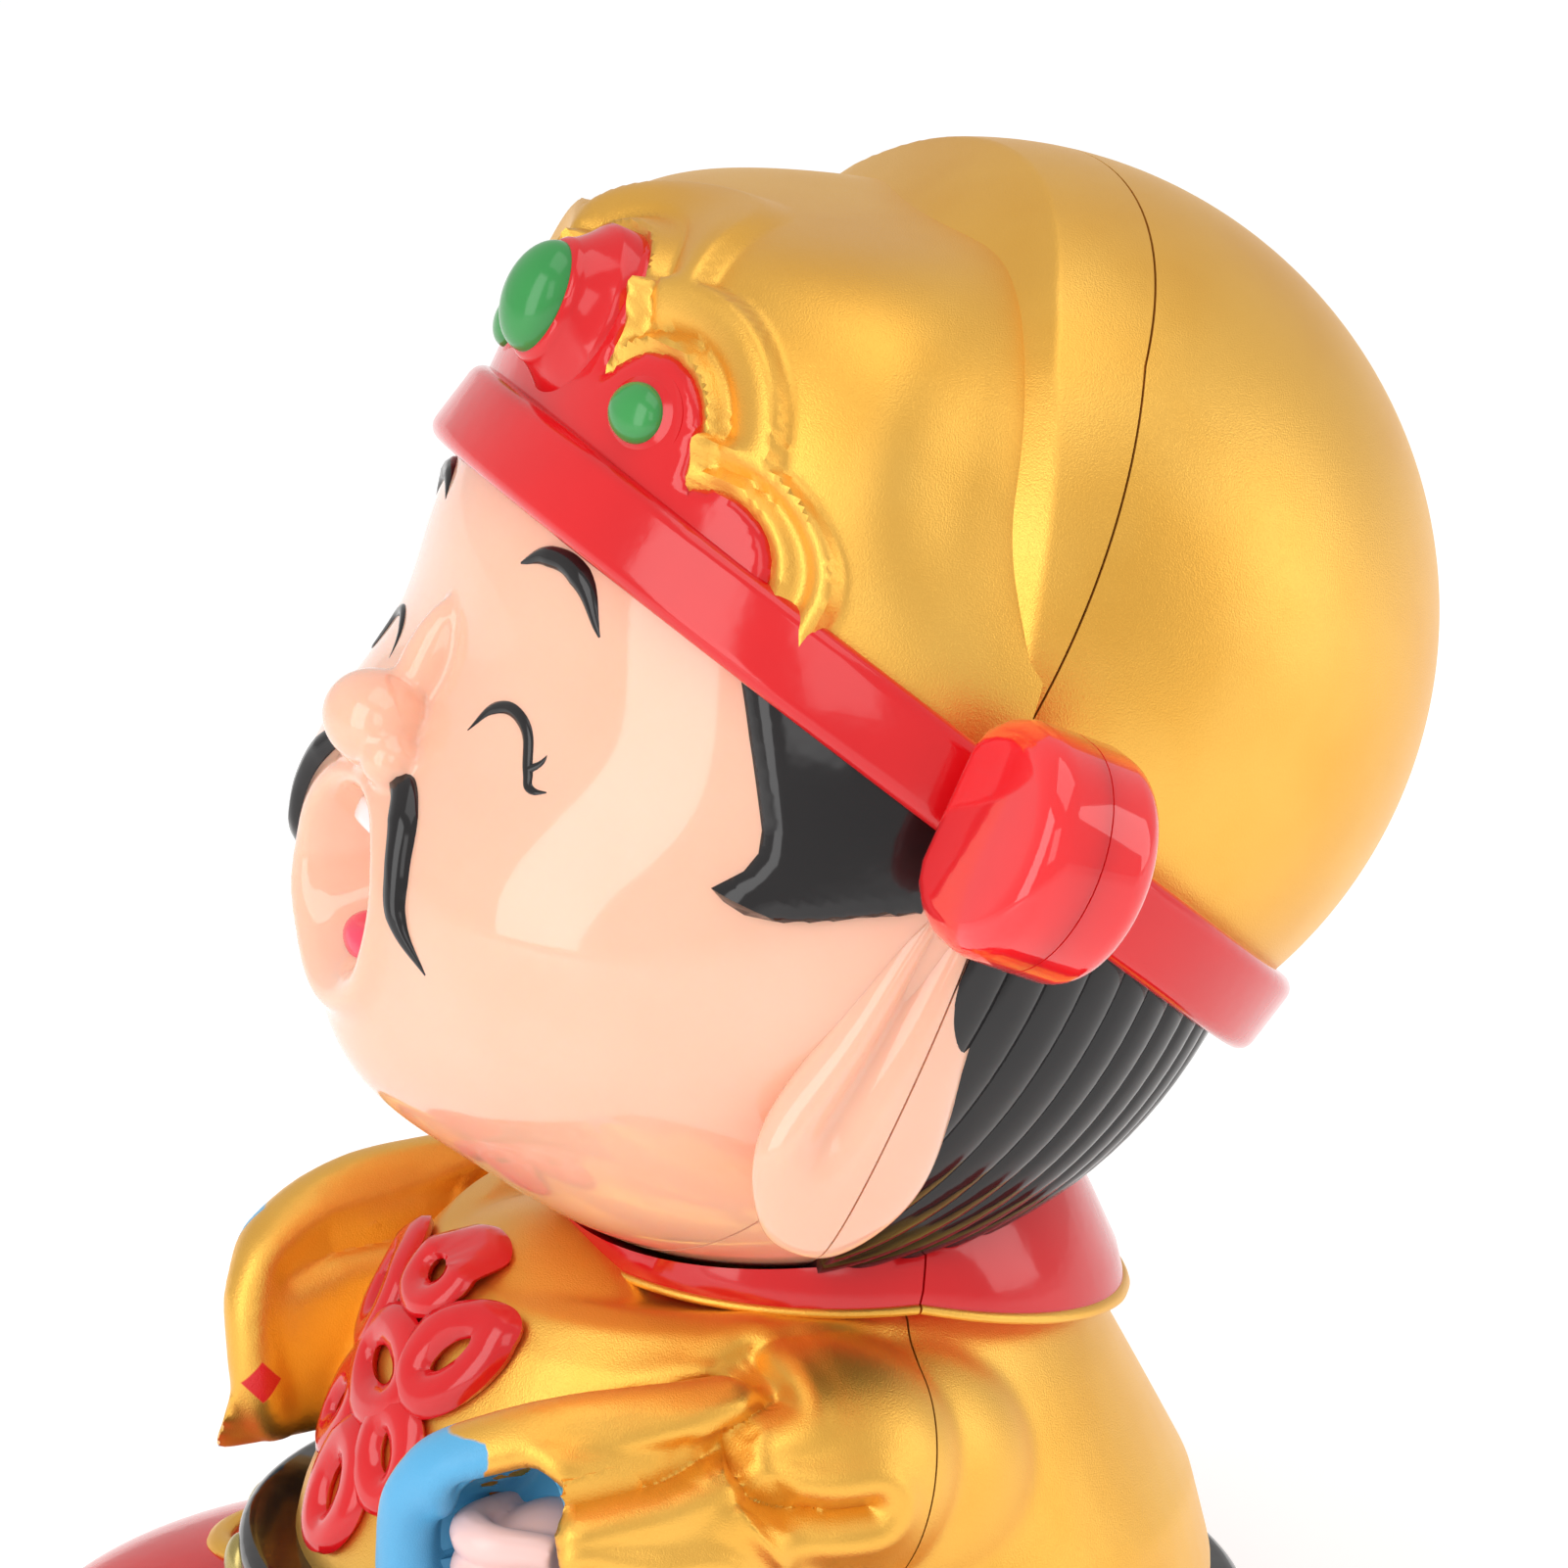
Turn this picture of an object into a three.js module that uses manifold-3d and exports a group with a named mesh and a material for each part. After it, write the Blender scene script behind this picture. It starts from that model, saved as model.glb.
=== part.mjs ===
// God of wealth figure: a small glossy moulded toy, sitting cross-legged on a low base.
// Millimetres, +Z up. The figure faces -Y, its left hand is at +X, and the origin is on the
// ground under the middle of its neck.

import * as THREE from "three";
import { mergeVertices } from "three/addons/utils/BufferGeometryUtils.js";
import Module from "manifold-3d";

const wasm = await Module();
wasm.setup();

// Driving dimensions

const SEAM_GAP = 0.3;              // clear space between neighbouring shells
const FAR = 200;                   // larger than the figure, for cutters
const BODY_SEAM = { y: -3, up: 38, lean: 15 };   // parting plane, tipped forward below its height
const HEAD_SEAM = [[0, -60], [0, 3], [-1.9, 11], [-0.2, 34], [2.2, 43], [5, 60]];   // side view, backwards and up

const BASE = { height: 4.2, halfWidth: 38.5, halfDepth: 40, middleY: -11, rounding: 1.3, square: 3 };

const NECK_LEVEL = 39.9;           // lowest point of the skull
const HEAD_RADIUS = 29.3;
const HEAD_FORWARD = 3.8;          // skull centre in front of the neck axis
const HEAD_TILT = 26;              // degrees, tipped back
const HEAD_UP = NECK_LEVEL + HEAD_RADIUS;
const HEAD_ROOM = 1.7;             // the collar and chest stay this clear of the bare skull

const COLLAR = { radius: 17.8, topRadius: 15.4, bottom: 33, top: 42.6, rounding: 1.0 };

// Face carving: angles are degrees across from the middle and above the level of the skull
// centre, other values are millimetres. Outlines are front views, x across and y up.

const EYE_HOLLOW = { depth: 4.6, above: 0, wide: 58, tall: 19 };
const CHEEK = { height: 1.0, across: 34, above: -22, wide: 22, tall: 16 };
const CHIN = { height: 2.0, above: -52, wide: 28, tall: 14 };
const PAINT_PROUD = 0.6;           // how far brows and eyes stand above the skin
const BROW = { line: [[6.4, 8.6], [10.4, 9.9], [14.2, 7.4]], widths: [0.5, 1.7, 0.5] };
const EYE = {
  line: [[6.8, -2.3], [8.4, 0.3], [11.2, 0.2], [13.6, -2.2], [15.0, -2.3]],
  widths: [0.5, 1.0, 0.9, 0.8, 0.3],
};
const MOUSTACHE = {
  line: [[2.4, -6.2], [5.2, -6.4], [7.3, -8.8], [8.0, -12.4], [10.9, -15.9]],
  widths: [1.0, 2.2, 2.1, 1.6, 0.5],
  proud: 1.1,
};
const NOSE = { out: 26.6, up: -4.3, half: [3.7, 3.4, 3.0] };
const NOSTRIL = { side: 3.1, out: 26.0, up: -5.7, half: [1.9, 2.0, 1.7] };
const MOUTH = { up: -14.2, halfWidth: 5.6, halfHeight: 5.4, depth: 4.4 };
const TEETH = { up: -10.4, halfWidth: 5.2, halfHeight: 1.6, back: 2.2 };
const TONGUE = { up: -16.8, out: 20.2, half: [3.6, 2.6, 2.2] };

const EAR = { side: 27.4, top: 3.6, bottom: -20.8, neck: 4.3, lobe: 6.2, forward: 0.6, thick: 2.5, lobeAt: -0.6 };
const HAIR = { proud: 0.8, grooves: 20, depth: 0.6 };
const SIDE_LOCK = {                // side view, backwards and up; it runs up under the hat band
  proud: 1.1,
  outline: [[-17.5, 12], [-15.6, 6.6], [-12.8, 1.2], [-14.2, -2.8], [-12, -3.2], [-4.9, 0.4], [-4.4, 12]],
};

// Hat

const BAND = { radius: 31.4, height: 5.4, back: 2.8, up: 6.4, tilt: 15, rounding: 1.1 };
const DOME = { radius: 29, back: 6.6, up: 14.1 };
const RIB = { crease: -7.2, step: 3.4, front: [[15, -2.9], [21, -4], [32, -5.4], [38, -5.2], [42, -4.4]] };
const CROWN = {
  halfWidth: 28.6, halfDepth: 23.3, middle: -2, floor: 8, height: 29.7, slope: 0.34,
  round: 2.2, square: 9,
};
const PLATE = { proud: 1.0, borderProud: 0.5, borderWidth: 4, foot: 5 };
const PLATE_LOBES = [
  { side: 0, up: 23.1, radius: 6.2 },
  { side: 10.2, up: 18.9, radius: 4.6 },
  { side: 17.6, up: 14.4, radius: 3.7 },
];
const BIG_JEWEL = { lobe: 0, bezel: 4.3, proud: 2.9, half: [2.9, 2.2, 3.5] };
const SMALL_JEWEL = { lobe: 1, bezel: 2.3, proud: 0.6, half: [1.8, 1.2, 1.8] };

const WING = { reach: 13.5, height: 13.8, thick: 8, root: 7.6, middle: -3.4, rounding: 1.8, grip: 1.5 };

// Body

const TORSO = { middleY: -6, sideShare: 0.87, lean: 0.07, leanFrom: 20, leanOver: 18 };
const TORSO_PROFILE = [            // [half depth, height], from the top down
  [12, 41.2], [17.2, 41], [20.6, 39.6], [23, 36], [26, 30], [28.6, 23.5],
  [30, 17], [29.6, 11], [28, 6],
];
const WAIST_DEPTH = Math.max(...TORSO_PROFILE.map(([half]) => half));
const CHEST = { half: [15, 12.5, 11.5], y: -17.5, up: 31.5 };
const SHOULDER = { half: [8.4, 8.8, 8.2], side: 18.4, y: -8.6, up: 32.6 };
const SLEEVE = {
  side: 20, back: -2, front: -44, mouth: -31.6, up: 30.4, halfWidth: 7.4, halfHeight: 9.2,
  turn: 28, tip: 18, wall: 1.4, depth: 7, square: 4,
};
const SLEEVE_ROLL = {               // along the top of the sleeve and down round its mouth
  radius: 2.2,
  line: [
    [20.5, -12, 37.4], [20.5, -20, 38.4], [18.8, -28.4, 37.6], [16, -33, 34.7], [14.6, -33.8, 31],
    [14.8, -33.2, 26.6], [17, -32, 23.4],
  ],
};
const FIST = { side: 18.6, y: -26.8, up: 30.4, half: [4.8, 5.0, 5.2], knuckle: 1.5 };
const BELT = { front: 19, back: 11, height: 6, proud: 2.6, rounding: 1.2 };
const PLAQUE = { half: 3.3, proud: 1.2, count: 5, spread: 24 };
const EMBLEM = { up: 33.2, proud: 0.9, bar: 1.5, petal: 4.6, reach: 6.6 };
const KNEE = { half: [17, 22, 7.4], side: 20, y: -26.4, up: 6.2 };
const TOE = { half: [6.4, 6.6, 4.4], side: 8, y: -40, up: 8.6 };
const HEM_FOLD = { half: [4.4, 2.2, 2.0], turn: 38, up: 19.4 };

// Moulded plastic and its paint

const PAINT = {
  skin: new THREE.MeshStandardMaterial({ color: 0xf6b994, roughness: 0.25, metalness: 0 }),
  gold: new THREE.MeshStandardMaterial({ color: 0xd9a33c, roughness: 0.35, metalness: 0.8 }),
  red: new THREE.MeshStandardMaterial({ color: 0xd81e24, roughness: 0.2, metalness: 0 }),
};

// Solids from closed geometries

const degrees = (angle) => THREE.MathUtils.degToRad(angle);
const bell = (value, middle, width) => Math.exp(-(((value - middle) / width) ** 2));
const mirrored = (points, side) => points.map(([x, y]) => [x * side, y]);
const bothSides = [1, -1];

function solid(geometry) {
  geometry.deleteAttribute("normal");
  geometry.deleteAttribute("uv");
  const merged = mergeVertices(geometry, 1e-4);
  const corners = merged.index.array;
  const kept = [];
  for (let i = 0; i < corners.length; i += 3) {
    const [a, b, c] = corners.slice(i, i + 3);
    if (a !== b && b !== c && c !== a) kept.push(a, b, c);
  }
  return new wasm.Manifold(new wasm.Mesh({
    numProp: 3,
    vertProperties: Float32Array.from(merged.attributes.position.array),
    triVerts: Uint32Array.from(kept),
  }));
}

function geometryOf(manifold) {
  const mesh = manifold.getMesh();
  const geometry = new THREE.BufferGeometry();
  geometry.setAttribute("position", new THREE.BufferAttribute(mesh.vertProperties, 3));
  geometry.setIndex(new THREE.BufferAttribute(mesh.triVerts, 1));
  geometry.computeVertexNormals();
  return geometry;
}

function join(solids) {
  return solids.reduce((whole, next) => whole.add(next));
}

// Every point of a unit sphere with its poles up and down goes where the function puts it.
function ball(columns, rows, place) {
  const geometry = new THREE.SphereGeometry(1, columns, rows).rotateX(Math.PI / 2);
  const position = geometry.attributes.position;
  const direction = new THREE.Vector3();
  for (let i = 0; i < position.count; i += 1) {
    direction.fromBufferAttribute(position, i).normalize();
    position.setXYZ(i, ...place(direction).toArray());
  }
  return geometry;
}

function ellipsoid(half, at, columns = 16, rows = 10) {
  return solid(ball(columns, rows, (d) => new THREE.Vector3(
    at[0] + half[0] * d.x,
    at[1] + half[1] * d.y,
    at[2] + half[2] * d.z,
  )));
}

function turned(profile, segments) {
  const points = profile.map(([radius, up]) => new THREE.Vector2(radius, up));
  return new THREE.LatheGeometry(points, segments).rotateX(Math.PI / 2);
}

// A front-view outline (x across, y up) pushed straight forward from y = back to y = front.
function prism(shape, back, front, curveSegments = 6) {
  const options = { depth: back - front, bevelEnabled: false, curveSegments };
  const geometry = new THREE.ExtrudeGeometry(shape, options);
  return solid(geometry.rotateX(Math.PI / 2).translate(0, back, 0));
}

// A side-view outline (x backwards, y up) pushed across from x = right to x = left.
function sidePrism(shape, right, left) {
  const geometry = new THREE.ExtrudeGeometry(shape, { depth: left - right, bevelEnabled: false });
  const axes = new THREE.Matrix4().makeBasis(
    new THREE.Vector3(0, 1, 0),
    new THREE.Vector3(0, 0, 1),
    new THREE.Vector3(1, 0, 0),
  );
  return solid(geometry.applyMatrix4(axes).translate(right, 0, 0));
}

function oval(x, y, halfWidth, halfHeight, turn = 0) {
  const shape = new THREE.Shape();
  shape.absellipse(x, y, halfWidth, halfHeight, 0, 2 * Math.PI, false, turn);
  return shape;
}

function ring(x, y, halfWidth, halfHeight, bar, turn = 0) {
  const shape = oval(x, y, halfWidth, halfHeight, turn);
  shape.holes.push(oval(x, y, halfWidth - bar, halfHeight - bar, turn));
  return shape;
}

// A brush stroke: a smooth line through the points, with widths spread evenly along it.
function stroke(points, widths, samples = 6) {
  const line = new THREE.SplineCurve(points.map(([x, y]) => new THREE.Vector2(x, y)));
  const left = [];
  const right = [];
  for (let i = 0; i <= samples; i += 1) {
    const share = i / samples;
    const at = line.getPoint(share);
    const along = line.getTangent(share);
    const place = share * (widths.length - 1);
    const step = Math.min(Math.floor(place), widths.length - 2);
    const half = THREE.MathUtils.lerp(widths[step], widths[step + 1], place - step) / 2;
    left.push(new THREE.Vector2(at.x - along.y * half, at.y + along.x * half));
    right.unshift(new THREE.Vector2(at.x + along.y * half, at.y - along.x * half));
  }
  return new THREE.Shape([...left, ...right]);
}

function halfSpace(edgeY, sign, lean = 0) {
  const box = new THREE.BoxGeometry(FAR, FAR, FAR);
  return solid(box.translate(0, edgeY + (sign * FAR) / 2, 0).rotateX(degrees(-lean)));
}

function bodyHalf(sign) {
  return halfSpace((sign * SEAM_GAP) / 2, sign, BODY_SEAM.lean).translate(0, BODY_SEAM.y, BODY_SEAM.up);
}

// Head, in its own frame: origin at the middle of the skull, upright

function headHalf(sign) {
  const edge = HEAD_SEAM.map(([y, up]) => new THREE.Vector2(y + (sign * SEAM_GAP) / 2, up));
  const far = [HEAD_SEAM[HEAD_SEAM.length - 1], HEAD_SEAM[0]].map(([, up]) => new THREE.Vector2(sign * FAR, up));
  return sidePrism(new THREE.Shape([...edge, ...far]), -FAR / 2, FAR / 2);
}

function between(table, at) {
  const above = table.findIndex(([key]) => key > at);
  const next = above < 0 ? table.length - 1 : Math.max(1, above);
  const [lowKey, low] = table[next - 1];
  const [highKey, high] = table[next];
  return THREE.MathUtils.lerp(low, high, THREE.MathUtils.clamp((at - lowKey) / (highKey - lowKey), 0, 1));
}

const FACE_DEPTHS = [-HEAD_RADIUS / 2, -HEAD_RADIUS * 1.5];

function skullRadius(direction) {
  const across = THREE.MathUtils.radToDeg(Math.atan2(direction.x, -direction.y));
  const above = THREE.MathUtils.radToDeg(Math.asin(THREE.MathUtils.clamp(direction.z, -1, 1)));
  const shapeAt = (form, middle = 0) => (
    bell(Math.abs(across), middle, form.wide) * bell(above, form.above, form.tall)
  );
  return HEAD_RADIUS
    - EYE_HOLLOW.depth * shapeAt(EYE_HOLLOW)
    + CHEEK.height * shapeAt(CHEEK, CHEEK.across)
    + CHIN.height * shapeAt(CHIN);
}

function skull(proud, columns = 24, rows = 16) {
  return solid(ball(columns, rows, (d) => d.clone().multiplyScalar(skullRadius(d) + proud)));
}

function onFace(outlines, proud, curveSegments = 5) {
  const pushed = outlines.map((outline) => prism(outline, ...FACE_DEPTHS, curveSegments));
  return join(pushed).intersect(skull(proud));
}

function paintedFeatures() {
  const lines = bothSides.flatMap((side) => [BROW, EYE].map(
    ({ line, widths }) => stroke(mirrored(line, side), widths),
  ));
  return onFace(lines, PAINT_PROUD);
}

function moustache() {
  const halves = bothSides.map((side) => stroke(mirrored(MOUSTACHE.line, side), MOUSTACHE.widths));
  return onFace(halves, MOUSTACHE.proud);
}

function nose() {
  const wings = bothSides.map((side) => (
    ellipsoid(NOSTRIL.half, [side * NOSTRIL.side, -NOSTRIL.out, NOSTRIL.up], 7, 5)
  ));
  return join([ellipsoid(NOSE.half, [0, -NOSE.out, NOSE.up], 10, 7), ...wings]);
}

function mouthHollow() {
  const opening = prism(oval(0, MOUTH.up, MOUTH.halfWidth, MOUTH.halfHeight), ...FACE_DEPTHS, 5);
  return opening.subtract(skull(-MOUTH.depth));
}

function mouthFilling() {
  const teeth = prism(oval(0, TEETH.up, TEETH.halfWidth, TEETH.halfHeight), ...FACE_DEPTHS, 4)
    .intersect(skull(TEETH.back - MOUTH.depth));
  return teeth.add(ellipsoid(TONGUE.half, [0, -TONGUE.out, TONGUE.up], 8, 6));
}

function hairBack() {
  const mass = solid(ball(HAIR.grooves * 2, 8, (d) => {
    const turn = Math.atan2(d.y, d.x);
    const groove = (1 - Math.cos(turn * HAIR.grooves)) / 2;
    const fade = 1 - d.z ** 4;
    return d.clone().multiplyScalar(HEAD_RADIUS + HAIR.proud - HAIR.depth * groove * fade);
  }));
  return mass.intersect(halfSpace(0, 1));
}

function sideLock(side) {
  const outline = new THREE.Shape(SIDE_LOCK.outline.map(([y, up]) => new THREE.Vector2(y, up)));
  const reach = side > 0 ? [0, FAR / 2] : [-FAR / 2, 0];
  return sidePrism(outline, ...reach).intersect(skull(SIDE_LOCK.proud));
}

function ear(side, grown = 0) {
  const middle = (EAR.top + EAR.bottom) / 2;
  const half = (EAR.top - EAR.bottom) / 2;
  return solid(ball(8, 7, (d) => {
    const wide = EAR.neck + (EAR.lobe - EAR.neck) * bell(d.z, EAR.lobeAt, 0.5);
    const across = Math.hypot(d.x, d.y) || 1;
    const full = across ** -0.3;
    return new THREE.Vector3(
      side * EAR.side + d.x * full * (EAR.thick + grown),
      d.y * full * (wide + grown) - EAR.forward * (1 - d.z),
      middle + (half + grown) * d.z,
    );
  }));
}

// Hat, in the frame of the head

function crown(proud, columns = 22, rows = 14) {
  return solid(ball(columns, rows, (d) => {
    const facing = Math.max(0, Math.cos(Math.atan2(d.x, -d.y))) ** 2;
    const power = THREE.MathUtils.lerp(CROWN.round, CROWN.square, facing);
    const side = Math.hypot(d.x / (CROWN.halfWidth + proud), d.y / (CROWN.halfDepth + proud));
    const top = Math.max(0, d.z - CROWN.slope * d.y) / (CROWN.height + proud);
    const reach = 1 / (side ** power + top ** power) ** (1 / power);
    const drop = Math.max(d.z * reach, -CROWN.floor);
    return new THREE.Vector3(d.x * reach, CROWN.middle + d.y * reach, CROWN.floor + drop);
  }));
}

// The back of the hat. Its front edge is a rib that narrows downwards, and a slanted riser drops
// from it to the crown.
function dome() {
  return solid(ball(24, 16, (d) => {
    const y = DOME.back + d.y * DOME.radius;
    const across = Math.hypot(d.x, d.z) * DOME.radius;
    const front = between(RIB.front, DOME.up + d.z * DOME.radius);
    const drop = RIB.step * THREE.MathUtils.clamp((front - y) / (front - RIB.crease), 0, 1);
    const share = across > 0 ? Math.max(0, across - drop) / across : 1;
    return new THREE.Vector3(
      d.x * DOME.radius * share,
      y,
      DOME.up + d.z * DOME.radius * share,
    );
  }));
}

function tippedWithBand(geometry) {
  return solid(geometry.rotateX(degrees(-BAND.tilt)).translate(0, BAND.back, BAND.up));
}

function band(proud = 0, segments = 32) {
  const half = BAND.height / 2 + proud;
  const outer = BAND.radius + proud;
  const inner = outer - BAND.rounding;
  const edge = half - BAND.rounding;
  const profile = [[0, -half], [inner, -half], [outer, -edge], [outer, edge], [inner, half], [0, half]];
  return tippedWithBand(turned(profile, segments));
}

function aboveBand() {
  return tippedWithBand(new THREE.BoxGeometry(FAR, FAR, FAR).translate(0, 0, FAR / 2));
}

function lobes(extra) {
  const last = PLATE_LOBES[PLATE_LOBES.length - 1];
  const edge = last.side + last.radius * 0.6 + extra;
  const foot = new THREE.Shape([
    new THREE.Vector2(-edge, PLATE.foot),
    new THREE.Vector2(edge, PLATE.foot),
    new THREE.Vector2(last.side, last.up),
    new THREE.Vector2(-last.side, last.up),
  ]);
  const rounds = PLATE_LOBES.flatMap(({ side, up, radius }) => {
    const places = side === 0 ? [0] : [side, -side];
    return places.map((place) => oval(place, up, radius + extra, radius + extra));
  });
  const depths = [-CROWN.halfDepth / 4, -CROWN.halfDepth * 1.6];
  return join([foot, ...rounds].map((outline) => prism(outline, ...depths, 4)));
}

function frontPlate() {
  const border = lobes(PLATE.borderWidth).intersect(crown(PLATE.borderProud));
  const plate = lobes(0).intersect(crown(PLATE.proud));
  return border.add(plate);
}

function jewel({ lobe, bezel, proud, half }, sign) {
  const { side, up } = PLATE_LOBES[lobe];
  const share = side / CROWN.halfWidth;
  const face = CROWN.middle - CROWN.halfDepth * Math.sqrt(1 - share ** 2);
  const turn = Math.atan((share * CROWN.halfDepth) / (CROWN.halfWidth * Math.sqrt(1 - share ** 2))) * sign;
  const sunk = bezel;
  const drum = new THREE.CylinderGeometry(bezel, bezel * 0.86, proud + sunk, 10);
  drum.rotateX(Math.PI / 2).translate(0, (sunk - proud) / 2, 0);
  const stone = ball(8, 6, (d) => new THREE.Vector3(
    half[0] * d.x,
    half[1] * d.y - proud,
    half[2] * d.z,
  ));
  return join([drum, stone].map((geometry) => (
    solid(geometry.rotateZ(turn).translate(side * sign, face, up))
  )));
}

function hat() {
  const top = join([crown(0), dome(), frontPlate()]).intersect(aboveBand());
  const stones = [jewel(BIG_JEWEL, 1), jewel(SMALL_JEWEL, 1), jewel(SMALL_JEWEL, -1)];
  return join([top, band(), ...stones]);
}

function wholeHead() {
  const face = skull(0).subtract(mouthHollow());
  const sides = bothSides.flatMap((side) => [sideLock(side), ear(side)]);
  return join([
    face, mouthFilling(), nose(), paintedFeatures(), moustache(), hairBack(), ...sides, hat(),
  ]);
}

const bandAtSide = BAND.up + Math.tan(degrees(BAND.tilt)) * (BAND.back - WING.middle);

// A thick paddle with a round end, gripping the round edge of the band.
function wing(side) {
  const rootX = BAND.radius - WING.grip;
  const tip = BAND.radius + WING.reach - WING.rounding;
  const half = WING.height / 2 - WING.rounding;
  const neck = WING.root / 2 - WING.rounding;
  const outline = new THREE.Shape();
  outline.moveTo(rootX, -neck);
  outline.quadraticCurveTo(rootX + 3, -half, tip - half, -half);
  outline.absarc(tip - half, 0, half, -Math.PI / 2, Math.PI / 2, false);
  outline.quadraticCurveTo(rootX + 3, half, rootX, neck);
  const depth = WING.thick - 2 * WING.rounding;
  const geometry = new THREE.ExtrudeGeometry(outline, {
    depth,
    bevelThickness: WING.rounding,
    bevelSize: WING.rounding,
    bevelSegments: 1,
    curveSegments: 5,
  });
  geometry.rotateX(Math.PI / 2);
  geometry.translate(0, WING.middle + depth / 2, bandAtSide);
  if (side < 0) geometry.rotateZ(Math.PI).translate(0, 2 * WING.middle, 0);
  const hatRoom = [band(SEAM_GAP), crown(SEAM_GAP), skull(SIDE_LOCK.proud + SEAM_GAP)];
  return hatRoom.reduce((left, room) => left.subtract(room), solid(geometry));
}

// Body

function torso(proud) {
  const profile = TORSO_PROFILE.map(([half, up]) => [half + proud, up]);
  const top = TORSO_PROFILE[0][1] + proud;
  const floor = BASE.height + SEAM_GAP;
  const last = profile[profile.length - 1][0];
  const geometry = turned([[0, floor], [last, floor], ...profile.reverse(), [0, top]], 20);
  const position = geometry.attributes.position;
  for (let i = 0; i < position.count; i += 1) {
    const y = position.getY(i);
    const z = position.getZ(i);
    const share = THREE.MathUtils.clamp((z - TORSO.leanFrom) / TORSO.leanOver, 0, 1);
    position.setX(i, position.getX(i) * TORSO.sideShare);
    position.setY(i, y + TORSO.middleY);
    position.setZ(i, z - y * TORSO.lean * share);
  }
  return solid(geometry);
}

function chest(proud) {
  return ellipsoid(CHEST.half.map((half) => half + proud), [0, CHEST.y, CHEST.up], 12, 7);
}

function collar() {
  const { radius, topRadius, bottom, top, rounding } = COLLAR;
  const profile = [
    [0, bottom],
    [radius, bottom],
    [radius, (bottom + top) / 2],
    [topRadius + rounding, top - rounding],
    [topRadius, top],
    [0, top],
  ];
  return solid(turned(profile, 20));
}

function sleeveForm(side, shrink) {
  const length = (SLEEVE.back - SLEEVE.front) / 2;
  return solid(ball(10, 7, (d) => {
    // the poles of this ball lie along the arm
    const along = -d.z;
    const ringSize = Math.hypot(d.x, d.y);
    const norm = (Math.abs(along) ** SLEEVE.square + ringSize ** SLEEVE.square) ** (-1 / SLEEVE.square);
    const flare = 0.86 - 0.14 * along * norm;
    return new THREE.Vector3(
      SLEEVE.side * side + d.x * norm * (SLEEVE.halfWidth - shrink) * flare,
      (SLEEVE.back + SLEEVE.front) / 2 + along * norm * (length - shrink),
      SLEEVE.up + d.y * norm * (SLEEVE.halfHeight - shrink) * flare,
    );
  }));
}

function beyondMouth(side, setBack) {
  const box = new THREE.BoxGeometry(FAR, FAR, FAR).translate(0, -FAR / 2, 0);
  box.rotateX(-degrees(SLEEVE.tip)).rotateZ(degrees(SLEEVE.turn) * side);
  return solid(box.translate(SLEEVE.side * side, SLEEVE.mouth + setBack, SLEEVE.up));
}

function sleeve(side) {
  const open = sleeveForm(side, 0).subtract(beyondMouth(side, 0));
  const inside = sleeveForm(side, SLEEVE.wall).intersect(beyondMouth(side, SLEEVE.depth));
  const line = SLEEVE_ROLL.line.map(([x, y, z]) => new THREE.Vector3(x * side, y, z));
  const section = oval(0, 0, SLEEVE_ROLL.radius, SLEEVE_ROLL.radius);
  const roll = new THREE.ExtrudeGeometry(section, {
    extrudePath: new THREE.CatmullRomCurve3(line), steps: 8, curveSegments: 3,
  });
  return open.subtract(inside).add(solid(roll));
}

function fist(side) {
  const [halfX, halfY, halfZ] = FIST.half;
  const palm = ellipsoid(FIST.half, [FIST.side * side, FIST.y, FIST.up], 7, 5);
  const fingers = [-1, 0, 1].map((step) => ellipsoid(
    [halfX * 0.8, FIST.knuckle * 1.4, FIST.knuckle],
    [FIST.side * side, FIST.y - halfY * 0.8, FIST.up + step * halfZ * 0.42],
    6,
    4,
  ));
  return join([palm, ...fingers]);
}

function arm(side) {
  const place = [SHOULDER.side * side, SHOULDER.y, SHOULDER.up];
  return join([ellipsoid(SHOULDER.half, place, 9, 6), sleeve(side), fist(side)]);
}

function belt(proud) {
  const half = BELT.height / 2;
  const outer = WAIST_DEPTH + BELT.proud + proud;
  const inner = outer - BELT.rounding;
  const edge = half - BELT.rounding;
  const profile = [[0, -half], [inner, -half], [outer, -edge], [outer, edge], [inner, half], [0, half]];
  const geometry = turned(profile, 20);
  const slope = (BELT.back - BELT.front) / (2 * WAIST_DEPTH);
  geometry.scale(TORSO.sideShare, 1, 1);
  geometry.applyMatrix4(new THREE.Matrix4().makeShear(0, 0, 0, slope, 0, 0));
  return solid(geometry.translate(0, TORSO.middleY, (BELT.front + BELT.back) / 2));
}

function plaques() {
  const outlines = [];
  for (let i = 0; i < PLAQUE.count; i += 1) {
    const turn = degrees((i - (PLAQUE.count - 1) / 2) * PLAQUE.spread);
    const x = Math.sin(turn) * WAIST_DEPTH;
    outlines.push(oval(x, BELT.front - 0.6 * Math.abs(turn), PLAQUE.half, BELT.height * 0.36));
  }
  return join(outlines.map((outline) => prism(outline, TORSO.middleY, -FAR / 4, 3)))
    .intersect(belt(PLAQUE.proud));
}

function emblem() {
  const { up, bar, petal, reach } = EMBLEM;
  const outlines = [ring(0, up, petal * 0.8, petal, bar)];
  for (let i = 0; i < 8; i += 1) {
    const turn = (i * Math.PI) / 4;
    const long = i % 2 === 0 ? 1.15 : 0.72;
    const away = reach * (i % 2 === 0 ? 1.12 : 1.2);
    const x = Math.sin(turn) * away;
    const y = up + Math.cos(turn) * away;
    outlines.push(ring(x, y, petal * 0.62 * Math.sqrt(long), petal * long, bar, -turn));
  }
  return join(outlines.map((outline) => prism(outline, CHEST.y, -FAR / 4, 3)))
    .intersect(torso(EMBLEM.proud).add(chest(EMBLEM.proud)));
}

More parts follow.
